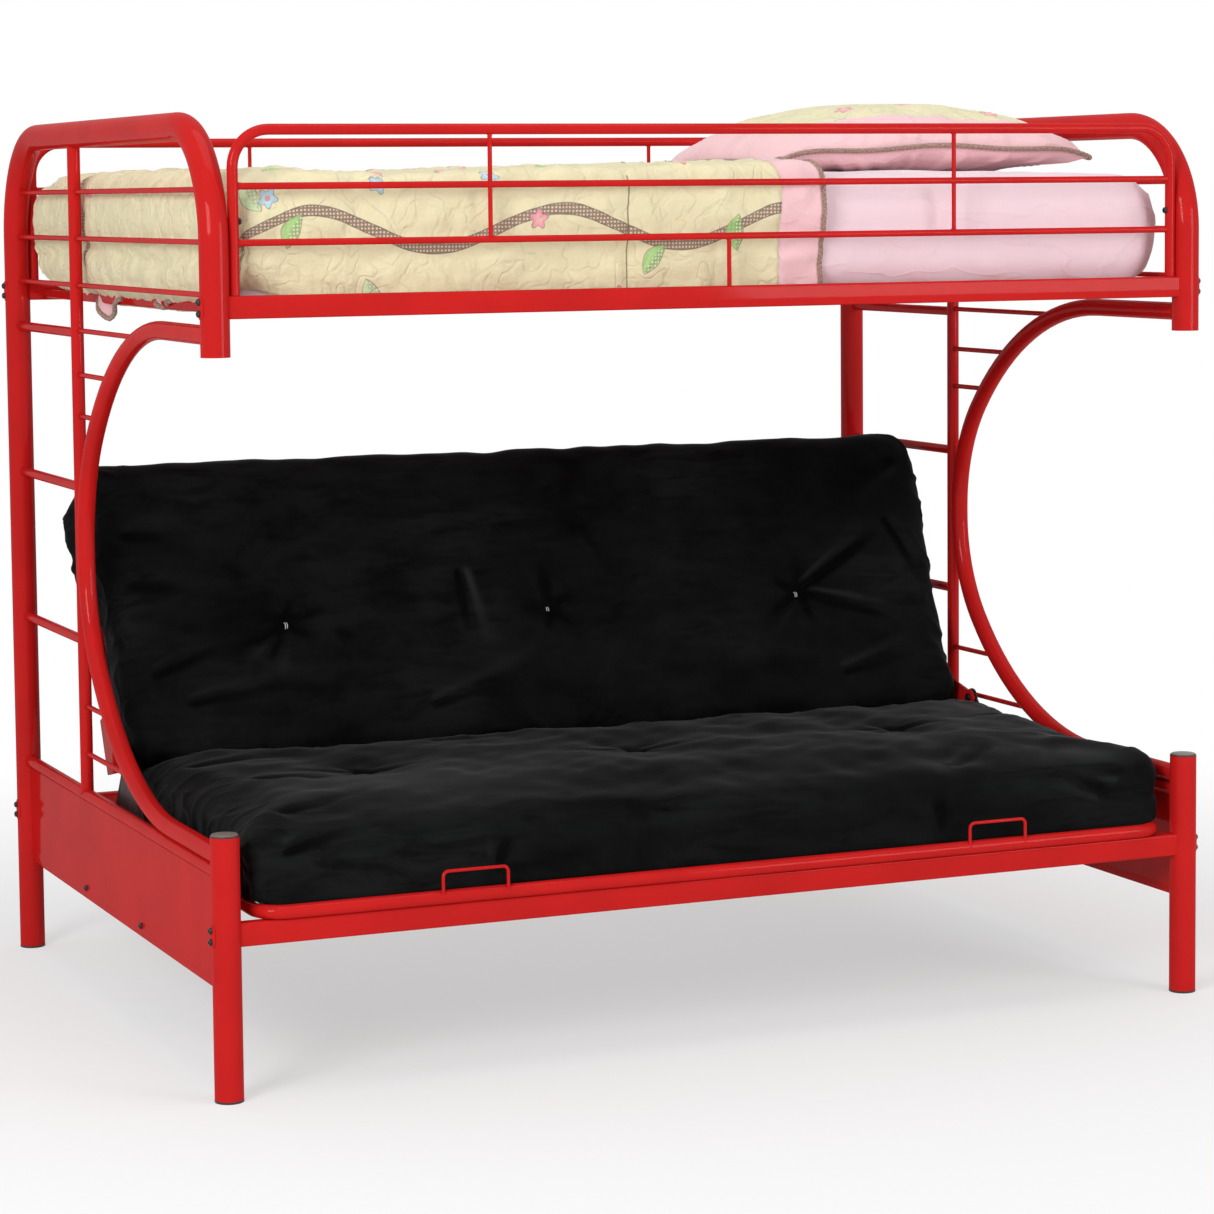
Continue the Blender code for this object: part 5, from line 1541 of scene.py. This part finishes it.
def tucked(pts):
    """Round the cloth off over the mattress's end and draw it in below."""
    x, y, z = pts.T
    end = share(-0.80 - x, 0.10)
    middle, half = 1.478, 0.125
    height = (z - middle) / half
    out = share(np.abs(y) - 0.30, 0.37)
    z[:] = middle + half * height * (1 - end * (0.05 * out + 0.14 * out ** 4))
    low = np.clip(-height, 0, 1)
    y *= 1 - end * (0.13 * low ** 3 + 0.02 * np.clip(height, 0, 1) ** 2)
    x -= 0.010 * end * np.clip(1 - height ** 2, 0, 1) * np.clip(1 - (np.abs(y) / 0.68) ** 6, 0, 1)
    x += 0.045 * end * share(low - 0.55, 0.45) ** 2
    x += 0.009 * end * bell(z - 1.452 - 0.012 * np.sin(y * 7), width=0.012)
    x[:] = np.maximum(x, np.where(np.abs(y - mid_post_y) < 0.05, -0.9465, -0.9500))
    return pts


class BED_OT_upper_mattress(bpy.types.Operator):
    """Mattress of the upper bunk in its pink fitted sheet"""

    bl_idname = "bed.upper_mattress"
    bl_label = "Upper mattress"

    middle_z = (mattress_bottom_z + mattress_top_z) / 2
    half_height = (mattress_top_z - mattress_bottom_z) / 2

    def execute(self, context):
        made = raw_object("fitted_sheet_mattress", (), ())
        reshaped(made, self.blank)
        remeshed(made, 0.014)
        put_back(made, self.covered(coordinates(made), normals(made)))
        dress(made, "pink", "bed", ("upper_mattress",), "pink_cotton", all_smooth)
        return {"FINISHED"}

    def blank(self, box):
        """Box with round upright edges and softer rims."""
        bmesh.ops.create_cube(box, size=2.0)
        half = (mattress_half_length - 0.002, mattress_half_width - 0.002, self.half_height)
        bmesh.ops.scale(box, vec=half, verts=box.verts)
        bmesh.ops.translate(box, vec=(0.0, 0.0, self.middle_z), verts=box.verts)

        def rise(edge):
            return abs((edge.verts[0].co - edge.verts[1].co).z)

        upright = [edge for edge in box.edges if rise(edge) > 0.1]
        bmesh.ops.bevel(box, geom=upright, offset=0.065, segments=6, profile=0.5, affect="EDGES")
        rims = [edge for edge in box.edges if edge.calc_face_angle(0) > 0.9 and rise(edge) < 0.01]
        bmesh.ops.bevel(box, geom=rims, offset=0.045, segments=5, profile=0.55, affect="EDGES")

    def covered(self, pts, nrm):
        """Crowned and bulged shape with creases, kept within the frame and under the quilt."""
        x, y, z = pts.T
        crown = (1 - share(np.abs(x), 0.93) ** 6) * (1 - share(np.abs(y), 0.66) ** 8)
        lift = 0.0012 * smooth_noise(pts, 0.30, 31) + 0.013 * crown * np.clip(nrm[:, 2] * 2 - 0.6, 0, 1)
        side = np.clip(1 - np.abs(nrm[:, 2]) * 1.4, 0, 1)
        bulge = np.clip(1 - ((z - self.middle_z) / self.half_height) ** 2, 0, 1)
        lift += (0.006 + 0.021 * np.clip(np.abs(nrm[:, 0]) * 1.5 - 0.5, 0, 1)) * side * bulge
        hanging = np.clip((mattress_top_z - z) / 0.15, 0.15, 1)
        lift += 0.0030 * side * ridges(pts * (1.0, 1.0, 0.25), 0.055, 32, 2.2) * hanging
        lift += 0.0016 * ridges(pts * (0.5, 1.4, 1.0), 0.12, 33, 3.0) * (nrm[:, 2] > 0.5)
        lift += 0.0042 * share(np.abs(x) - 0.80, 0.10) * side * ridges(pts * (1.0, 1.0, 0.6), 0.07, 34, 2.4)
        pts = pts + nrm * lift[:, None]
        x, y, z = pts.T
        under_quilt = share(0.185 - x, 0.02)
        x[:] = np.clip(x, -0.917, np.where(np.abs(y - mid_post_y) < 0.05, 0.9485, 0.9545))
        half_width = 0.664 - 0.020 * under_quilt
        y[:] = np.clip(y, -half_width, half_width)
        z[:] = np.minimum(np.maximum(z, mattress_bottom_z), 1.60 - 0.0185 * under_quilt)
        tucked(pts)
        z[:] = np.maximum(z, mattress_bottom_z)
        return pts


mattress_edge_radius = 0.030


def bed_skirt(distance, clearance):
    """Shift and fall of a point of the cover at that distance along the cloth past the mattress's top."""
    radius = mattress_edge_radius + clearance
    arc = radius * pi / 2
    if distance <= 0:
        return distance, 0.0
    if distance < arc:
        angle = distance / radius
        return radius * sin(angle), -radius * (1 - cos(angle))
    return radius, -radius - (distance - arc)


class BED_OT_quilt(bpy.types.Operator):
    """Quilt over the foot end of the mattress with its pink band, braid and tucked end"""

    bl_idname = "bed.quilt"
    bl_label = "Quilt"

    # Where the quilt ends, where the mattress's flat top ends, and lengths in the cloth
    right = 0.196
    left = mattress_edge_radius - mattress_half_length
    edge = mattress_half_width - mattress_edge_radius
    band = 0.086
    side_drop = 0.178
    end_drop = 0.205
    cell = 0.0085

    # Height that the bedding adds along the middle
    crown_xs = (-0.95, -0.884, -0.79, -0.70, -0.514, -0.30, -0.144, -0.02, 0.14, 0.207)
    crown_heights = (0.006, 0.010, 0.009, -0.001, 0.003, 0.010, 0.012, 0.015, 0.019, 0.018)

    def execute(self, context):
        thickness = context.scene.bed_sizes.quilt_thickness
        clearance = 0.005 + thickness
        top = mattress_top_z + 0.010 + thickness
        arc = (mattress_edge_radius + clearance) * pi / 2
        reach = self.edge + arc + self.side_drop
        s_values = np.arange(-arc - self.end_drop, self.right - self.left + self.cell / 2, self.cell)
        t_values = np.linspace(-reach, reach, int(2 * reach / self.cell))
        grid = np.array([[self.draped(s, t, clearance, top) for s in s_values] for t in t_values])
        flat = np.stack(np.meshgrid(s_values, t_values), axis=2)
        grid = self.rumple(grid, flat, top)
        start = int(np.searchsorted(s_values, self.right - self.left - self.band))
        main = cloth_grid("quilt_cloth", grid[:, :start + 1], flat[:, :start + 1], "quilt", thickness,
                          stands_for=("quilt",), slot="cream_cotton")
        band = cloth_grid("quilt_band", grid[:, start:], flat[:, start:], "border", thickness,
                          slot="pink_cotton")
        line = [Vector(p) + Vector((0.001, 0.0, 0.0)) for p in grid[:, -1]]
        braid_piece("quilt_braid", line, 0.0047)
        self.loose_corners()
        return {"FINISHED"}

    def draped(self, s, t, clearance, top):
        """Place of the point of the cloth that lies s past the end and t from the middle line."""
        beyond = abs(t) - self.edge
        shift_x, fall_x = bed_skirt(-s, clearance)
        shift_y, fall_y = bed_skirt(beyond, clearance)
        if s < 0 and beyond > 0:
            x, y, fall = self.corner(s, t, beyond, clearance)
        elif s < 0:
            x, y, fall = self.left - shift_x, t, fall_x
        elif beyond > 0:
            x, y, fall = self.left + s, (self.edge + shift_y) * (1 if t > 0 else -1), fall_y
        else:
            x, y, fall = self.left + s, t, 0.0
        return x, y, top + fall

    def corner(self, s, t, beyond, clearance):
        """Corner of the drop: the cloth turns round a rounded corner and its spare width folds under."""
        sign = 1 if t > 0 else -1
        angle = atan2(beyond, -s)
        out, fall = bed_skirt(max(-s, beyond), clearance)
        squared = max(abs(cos(angle)), abs(sin(angle)))
        round_off = 1 - 0.16 * sin(2 * angle)
        x = self.left - out * cos(angle) / squared * round_off
        y = sign * (self.edge + out * sin(angle) / squared * round_off)
        return x, y, fall

    def rumple(self, grid, flat, top):
        """Quilted puffs, wrinkles, the waves of the drop and the end tucked in under the mattress."""
        pts = grid.reshape(-1, 3)
        uv = np.concatenate([flat.reshape(-1, 2), np.zeros((len(pts), 1))], axis=1)
        across, down = (np.gradient(grid, axis=axis).reshape(-1, 3) for axis in (1, 0))
        nrm = np.cross(across, down)
        nrm /= np.maximum(np.linalg.norm(nrm, axis=1), 1e-9)[:, None]
        hanging = share(top - pts[:, 2] - 0.03, 0.15)
        lift = 0.0016 * smooth_noise(uv, 0.085, 51) + 0.0010 * smooth_noise(uv, 0.035, 52)
        puffs = np.abs(smooth_noise(uv * (1.0, 0.8, 1.0), 0.075, 53))
        lift += 0.0040 * (np.sqrt(puffs + 0.02) - 0.9)
        lift += 0.0026 * ridges(uv * (0.35, 1.0, 1.0), 0.09, 56, 2.4)
        lift += 0.0036 * hanging * smooth_noise(uv * (1.0, 0.05, 1.0), 0.16, 54)
        lift += np.interp(pts[:, 0], self.crown_xs, self.crown_heights) * (1 - hanging)
        lift -= 0.007 * bell(uv[:, 0] - 0.708, width=0.007) * share(-0.55 - uv[:, 1], 0.08)
        pts = pts + nrm * np.clip(lift, -0.007, 0.024)[:, None]
        return tucked(pts).reshape(grid.shape)

    def loose_corners(self):
        """Two corners of the quilt that hang out below its tucked end, with their braid."""
        rows, columns, high = 9, 17, 1.392
        for name, middle, spread, low in (("back", 0.165, 0.095, 1.324), ("front", -0.215, 0.055, 1.356)):
            grid = np.zeros((rows, columns, 3))
            flat = np.zeros((rows, columns, 2))
            for j, v in enumerate(np.linspace(0, 1, rows)):
                for i, u in enumerate(np.linspace(-1, 1, columns)):
                    tip = low + 0.85 * (1.372 - low) * min(1.0, abs(u - 0.15) ** 1.1)
                    grid[j, i] = (-0.903 + 0.006 * sin(5 * u + 2 * v) - 0.012 * v, middle + spread * u,
                                  high * (1 - v) + tip * v)
                    flat[j, i] = (spread * u, (high - tip) * v)
            made = cloth_grid("quilt_corner_" + name, grid, flat, "border", 0.0015, slot="pink_cotton")
            braid_piece("quilt_corner_braid_" + name, [Vector(p) for p in grid[-1]], 0.0050)


def braid_piece(name, path, radius):
    """Three strands that wind round each other along a path, as one piece."""
    length = [0.0]
    for a, b in zip(path, path[1:]):
        length.append(length[-1] + (b - a).length)
    pitch = radius * 5.5
    count = max(8, int(length[-1] / (pitch / 7)))
    where = np.linspace(0, length[-1], count)
    line = [Vector(p) for p in zip(*(np.interp(where, length, values) for values in zip(*path)))]
    strand_radius = 0.55 * radius
    shapes = []
    for strand in range(3):
        turned = []
        for (point, side, up), w in zip(frames(line), where):
            angle = 2 * pi * (w / pitch + strand / 3)
            turned.append(point + side * (strand_radius * cos(angle)) + up * (strand_radius * sin(angle)))
        shapes.append(sweep(turned, strand_radius, 6))
    piece(name, shapes, "braid", slot="cream_cotton", sharp=all_smooth)


class BED_OT_pillow(bpy.types.Operator):
    """Pillow with a cream panel, wide pink border, pink back and brown braid along its seam"""

    bl_idname = "bed.pillow"
    bl_label = "Pillow"

    centre = Vector((0.576, -0.152, 1.6195))
    half = (0.362, 0.250)
    border = 0.072
    columns = 56
    rows = 40

    def place(self, u, v, height=0.0):
        """Point of the pillow at u, v from -1 to 1, at a height over its seam."""
        pull = 1 - 0.045 * (1 - u * u) * abs(v) ** 4 - 0.045 * (1 - v * v) * abs(u) ** 4
        x, y = self.half[0] * u * pull, self.half[1] * v * pull
        seam = 0.024 - 0.030 * (abs(u) ** 8 + abs(v) ** 8 * 0.1) * (0.4 + 0.6 * abs(v) ** 3)
        seam += 0.004 * sin(7.0 * u + 1.0) * abs(v) ** 3 - 0.016 * np.clip(-u - 0.1, 0, 1) ** 1.5
        return self.centre + Vector((x, y, seam + height))

    def execute(self, context):
        border_start = [1 - self.border / size for size in self.half]
        made = self.blank(context.scene.bed_sizes.pillow_rise - 0.023, border_start)
        subdivided(made)
        pts, nrm = coordinates(made), normals(made)
        flat = (pts[:, :2] - self.centre[:2]) / self.half
        edge = np.abs(flat).max(axis=1)
        rim = share(edge - 0.90, 0.06)
        below = (nrm[:, 2] < -0.3) & (pts[:, 2] < self.centre.z - 0.010)
        inflated(made, np.maximum(rim, below * 0.5), 4.5, 0.014)
        smoothed(made, 2)
        pts, nrm = coordinates(made), normals(made)
        angle = np.arctan2(flat[:, 1], flat[:, 0])
        ring = np.stack([np.cos(angle), np.sin(angle), np.zeros(len(angle))], 1)
        pleats = ridges(ring, 0.24, 61, 1.8, -0.4) * share(edge - 0.30, 0.6)
        lift = (0.0045 * pleats + 0.0022 * smooth_noise(pts, 0.11, 62)) * (1 - rim)
        lift -= 0.003 * bell(edge - sum(border_start) / 2, width=0.018) * (nrm[:, 2] > 0)
        pts = pts + nrm * lift[:, None]
        pts[:, 2] = np.clip(pts[:, 2], self.floor_at(pts[:, 0]), 1.7290)
        put_back(made, pts)
        dress(made, "quilt", "bed", ("pillow",), "cream_cotton", all_smooth)
        self.colour_faces(made)
        self.edging()
        return {"FINISHED"}

    def blank(self, rise, border_start):
        """Top and underside on one grid, joined along the seam, with the panel's points marked by zero."""
        points, faces, values = [], [], []
        index = {}
        for sign in (1, -1):
            for j in range(self.rows + 1):
                for i in range(self.columns + 1):
                    u, v = 2 * i / self.columns - 1, 2 * j / self.rows - 1
                    if sign < 0 and (abs(u) == 1 or abs(v) == 1):
                        index[sign, i, j] = index[1, i, j]
                        continue
                    fill = max(0.0, (1 - abs(u) ** 2.8) * (1 - abs(v) ** 2.8)) ** 0.72
                    index[sign, i, j] = len(points)
                    points.append(self.place(u, v, rise * fill if sign > 0 else -0.052 * fill ** 0.55))
                    on_panel = sign > 0 and abs(u) <= border_start[0] and abs(v) <= border_start[1]
                    values.append(0.0 if on_panel else 1.0)
        for j in range(self.rows):
            for i in range(self.columns):
                ring = [(i, j), (i + 1, j), (i + 1, j + 1), (i, j + 1)]
                faces.append([index[1, a, b] for a, b in ring])
                faces.append([index[-1, a, b] for a, b in reversed(ring)])
        made = raw_object("pillow_body", points, faces)
        made.data.attributes.new("panel", "FLOAT", "POINT").data.foreach_set("value", values)
        return made

    def floor_at(self, x):
        """Height of the bedding under the pillow: the quilt's edge is higher than the sheet."""
        return mattress_top_z + 0.0135 + 0.020 * share(0.215 - x, 0.02)

    def colour_faces(self, made):
        """Cream panel on top, pink border and back, and the cloth's own coordinates."""
        made.data.materials.append(finish_of("border"))
        values = np.empty(len(made.data.vertices), np.float32)
        made.data.attributes["panel"].data.foreach_get("value", values)
        for face in made.data.polygons:
            face.material_index = int(max(values[i] for i in face.vertices) > 0.01)
        cloth_coordinates(made, coordinates(made)[:, :2] + (0.07, -0.03))

    def edging(self):
        """Braid along the seam, eased round the corners and kept above the bedding."""
        count = 400
        line = []
        for k in range(count):
            turn = 4 * k / count
            side, part = int(turn), 2 * (turn % 1.0) - 1
            u, v = ((part, -1), (1, part), (-part, 1), (-1, -part))[side]
            outward_u, outward_v = (0.003 * (abs(part) == 1) * part for part in (u, v))
            line.append(self.place(u, v) + Vector((outward_u, outward_v, 0.0)))
        soft = []
        for k in range(count):
            near = [line[(k + d) % count] for d in range(-4, 5)]
            point = sum(near, Vector()) / len(near)
            point.z = max(point.z, float(self.floor_at(point.x)) + 0.003)
            soft.append(point)
        braid_piece("pillow_braid", soft + soft[:1], 0.0050)


class BED_OT_stage(bpy.types.Operator):
    """Floor, backdrop, lamps and the camera at the photograph's angle"""

    bl_idname = "bed.stage"
    bl_label = "Stage"

    # The fitted camera, in pixels, degrees and metres
    picture_size = 1214
    focal_length = 3466.1
    centre = (607.0, 486.0)
    yaw, pitch, roll = 23.3278, -4.7889, -0.5407
    camera_place = (-2.6846, -6.3517, 1.5527)

    # Place, target height, size and power of each soft box
    lamps = {"Key": ((-4.6, -3.8, 3.0), 0.9, 2.0, 172.0), "Fill": ((3.4, -5.3, 2.0), 0.9, 2.2, 100.0),
             "Top": ((0.0, -0.5, 5.0), 1.0, 3.0, 60.0)}

    def execute(self, context):
        scene = context.scene
        self.floor()
        self.world(scene)
        for name, settings in self.lamps.items():
            self.lamp(name, *settings)
        lens = bpy.data.cameras.new("Camera")
        lens.sensor_width = 36.0
        lens.lens = self.focal_length * lens.sensor_width / self.picture_size
        lens.shift_x = 0.5 - self.centre[0] / self.picture_size
        lens.shift_y = self.centre[1] / self.picture_size - 0.5
        lens.clip_end = 100.0
        camera = added("Camera", lens)
        stand = Matrix.Translation(self.camera_place)
        for angle, axis in ((-self.yaw, "Z"), (90.0 + self.pitch, "X"), (self.roll, "Z")):
            stand = stand @ Matrix.Rotation(radians(angle), 4, axis)
        camera.matrix_world = stand
        scene.camera = camera
        scene.view_settings.view_transform = "Standard"
        return {"FINISHED"}

    def floor(self):
        """Large pale floor that keeps the bed's shadow and looks white to the camera."""
        size = 30.0
        made = raw_object("floor", [(-size, -size, 0), (size, -size, 0), (size, size, 0), (-size, size, 0)],
                          [(0, 1, 2, 3)])
        g = Graph("Pale floor")
        material = g.finish(Base_Color=(0.90, 0.90, 0.90), Roughness=0.9, Specular_IOR_Level=0.1)
        far = g.vector("LENGTH", g.place()).node.outputs["Value"]
        share_white = g.times(g.ramp(far, 0.50, 1.0, 0.9, 3.2), self.looked_at(g.tree))
        white = g.node("ShaderNodeEmission", {"Color": (1.0, 1.0, 1.0), "Strength": 1.0})
        both = g.node("ShaderNodeMixShader", {0: share_white, 1: g.shader.outputs[0], 2: white})
        put(g.tree, g.tree.nodes["Material Output"].inputs["Surface"], both)
        made.data.materials.append(material)

    def world(self, scene):
        """Even studio light, and white for what the camera or a reflection sees."""
        scene.world = bpy.data.worlds.new("Studio")
        scene.world.use_nodes = True
        tree = scene.world.node_tree
        light, white = (add_node(tree, "ShaderNodeBackground", {"Color": (1.0, 1.0, 1.0), "Strength": power})
                        for power in (0.42, 1.0))
        mix = add_node(tree, "ShaderNodeMixShader", {0: self.looked_at(tree), 1: light, 2: white})
        put(tree, tree.nodes["World Output"].inputs["Surface"], mix)

    def looked_at(self, tree):
        """One where the camera sees a surface, straight or in a gloss or through glass."""
        rays = tree.nodes.new("ShaderNodeLightPath").outputs
        seen = rays["Is Camera Ray"]
        for kind in ("Is Glossy Ray", "Is Transmission Ray"):
            seen = add_node(tree, "ShaderNodeMath", {0: seen, 1: rays[kind]}, operation="MAXIMUM")
        return seen

    def lamp(self, name, place, target_z, size, power):
        """Square soft box that shines on the bed's middle."""
        data = bpy.data.lights.new(name, "AREA")
        data.size = size
        data.energy = power
        made = added(name, data)
        made.location = place
        aim = Vector((0.0, 0.0, target_z)) - made.location
        made.rotation_euler = aim.to_track_quat("-Z", "Y").to_euler()


class BED_PT_sidebar(bpy.types.Panel):
    """List of the bed's groups of pieces, with their sizes and colours"""

    bl_label = "Bunk bed"
    bl_idname = "BED_PT_sidebar"
    bl_space_type = "VIEW_3D"
    bl_region_type = "UI"
    bl_category = "Bunk bed"

    def draw(self, context):
        for group in (context.scene.bed_sizes, context.scene.bed_colours):
            for key in group.__annotations__:
                self.layout.prop(group, key)
        for operator in operators:
            self.layout.operator(operator.bl_idname)


operators = (BED_OT_end_frames, BED_OT_end_panels, BED_OT_rails, BED_OT_guards, BED_OT_fittings,
             BED_OT_sofa_frames, BED_OT_sofa_mattress, BED_OT_upper_mattress, BED_OT_quilt, BED_OT_pillow,
             BED_OT_stage)
classes = (BedSizes, BedColours) + operators + (BED_PT_sidebar,)


def register():
    """Register the classes and put the settings on the scene."""
    for cls in classes:
        bpy.utils.register_class(cls)
    bpy.types.Scene.bed_sizes = PointerProperty(type=BedSizes)
    bpy.types.Scene.bed_colours = PointerProperty(type=BedColours)


def unregister():
    """Undo register."""
    del bpy.types.Scene.bed_colours
    del bpy.types.Scene.bed_sizes
    for cls in reversed(classes):
        bpy.utils.unregister_class(cls)


def main():
    """Build every group in order."""
    for leftover in ("Cube", "Light", "Camera"):
        if leftover in bpy.data.objects:
            bpy.data.objects.remove(bpy.data.objects[leftover], do_unlink=True)
    register()
    bpy.ops.bed.end_frames()
    bpy.ops.bed.end_panels()
    bpy.ops.bed.rails()
    bpy.ops.bed.guards()
    bpy.ops.bed.fittings()
    bpy.ops.bed.sofa_frames()
    bpy.ops.bed.sofa_mattress()
    bpy.ops.bed.upper_mattress()
    bpy.ops.bed.quilt()
    bpy.ops.bed.pillow()
    bpy.ops.bed.stage()
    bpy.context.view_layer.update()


if __name__ == "__main__":
    main()
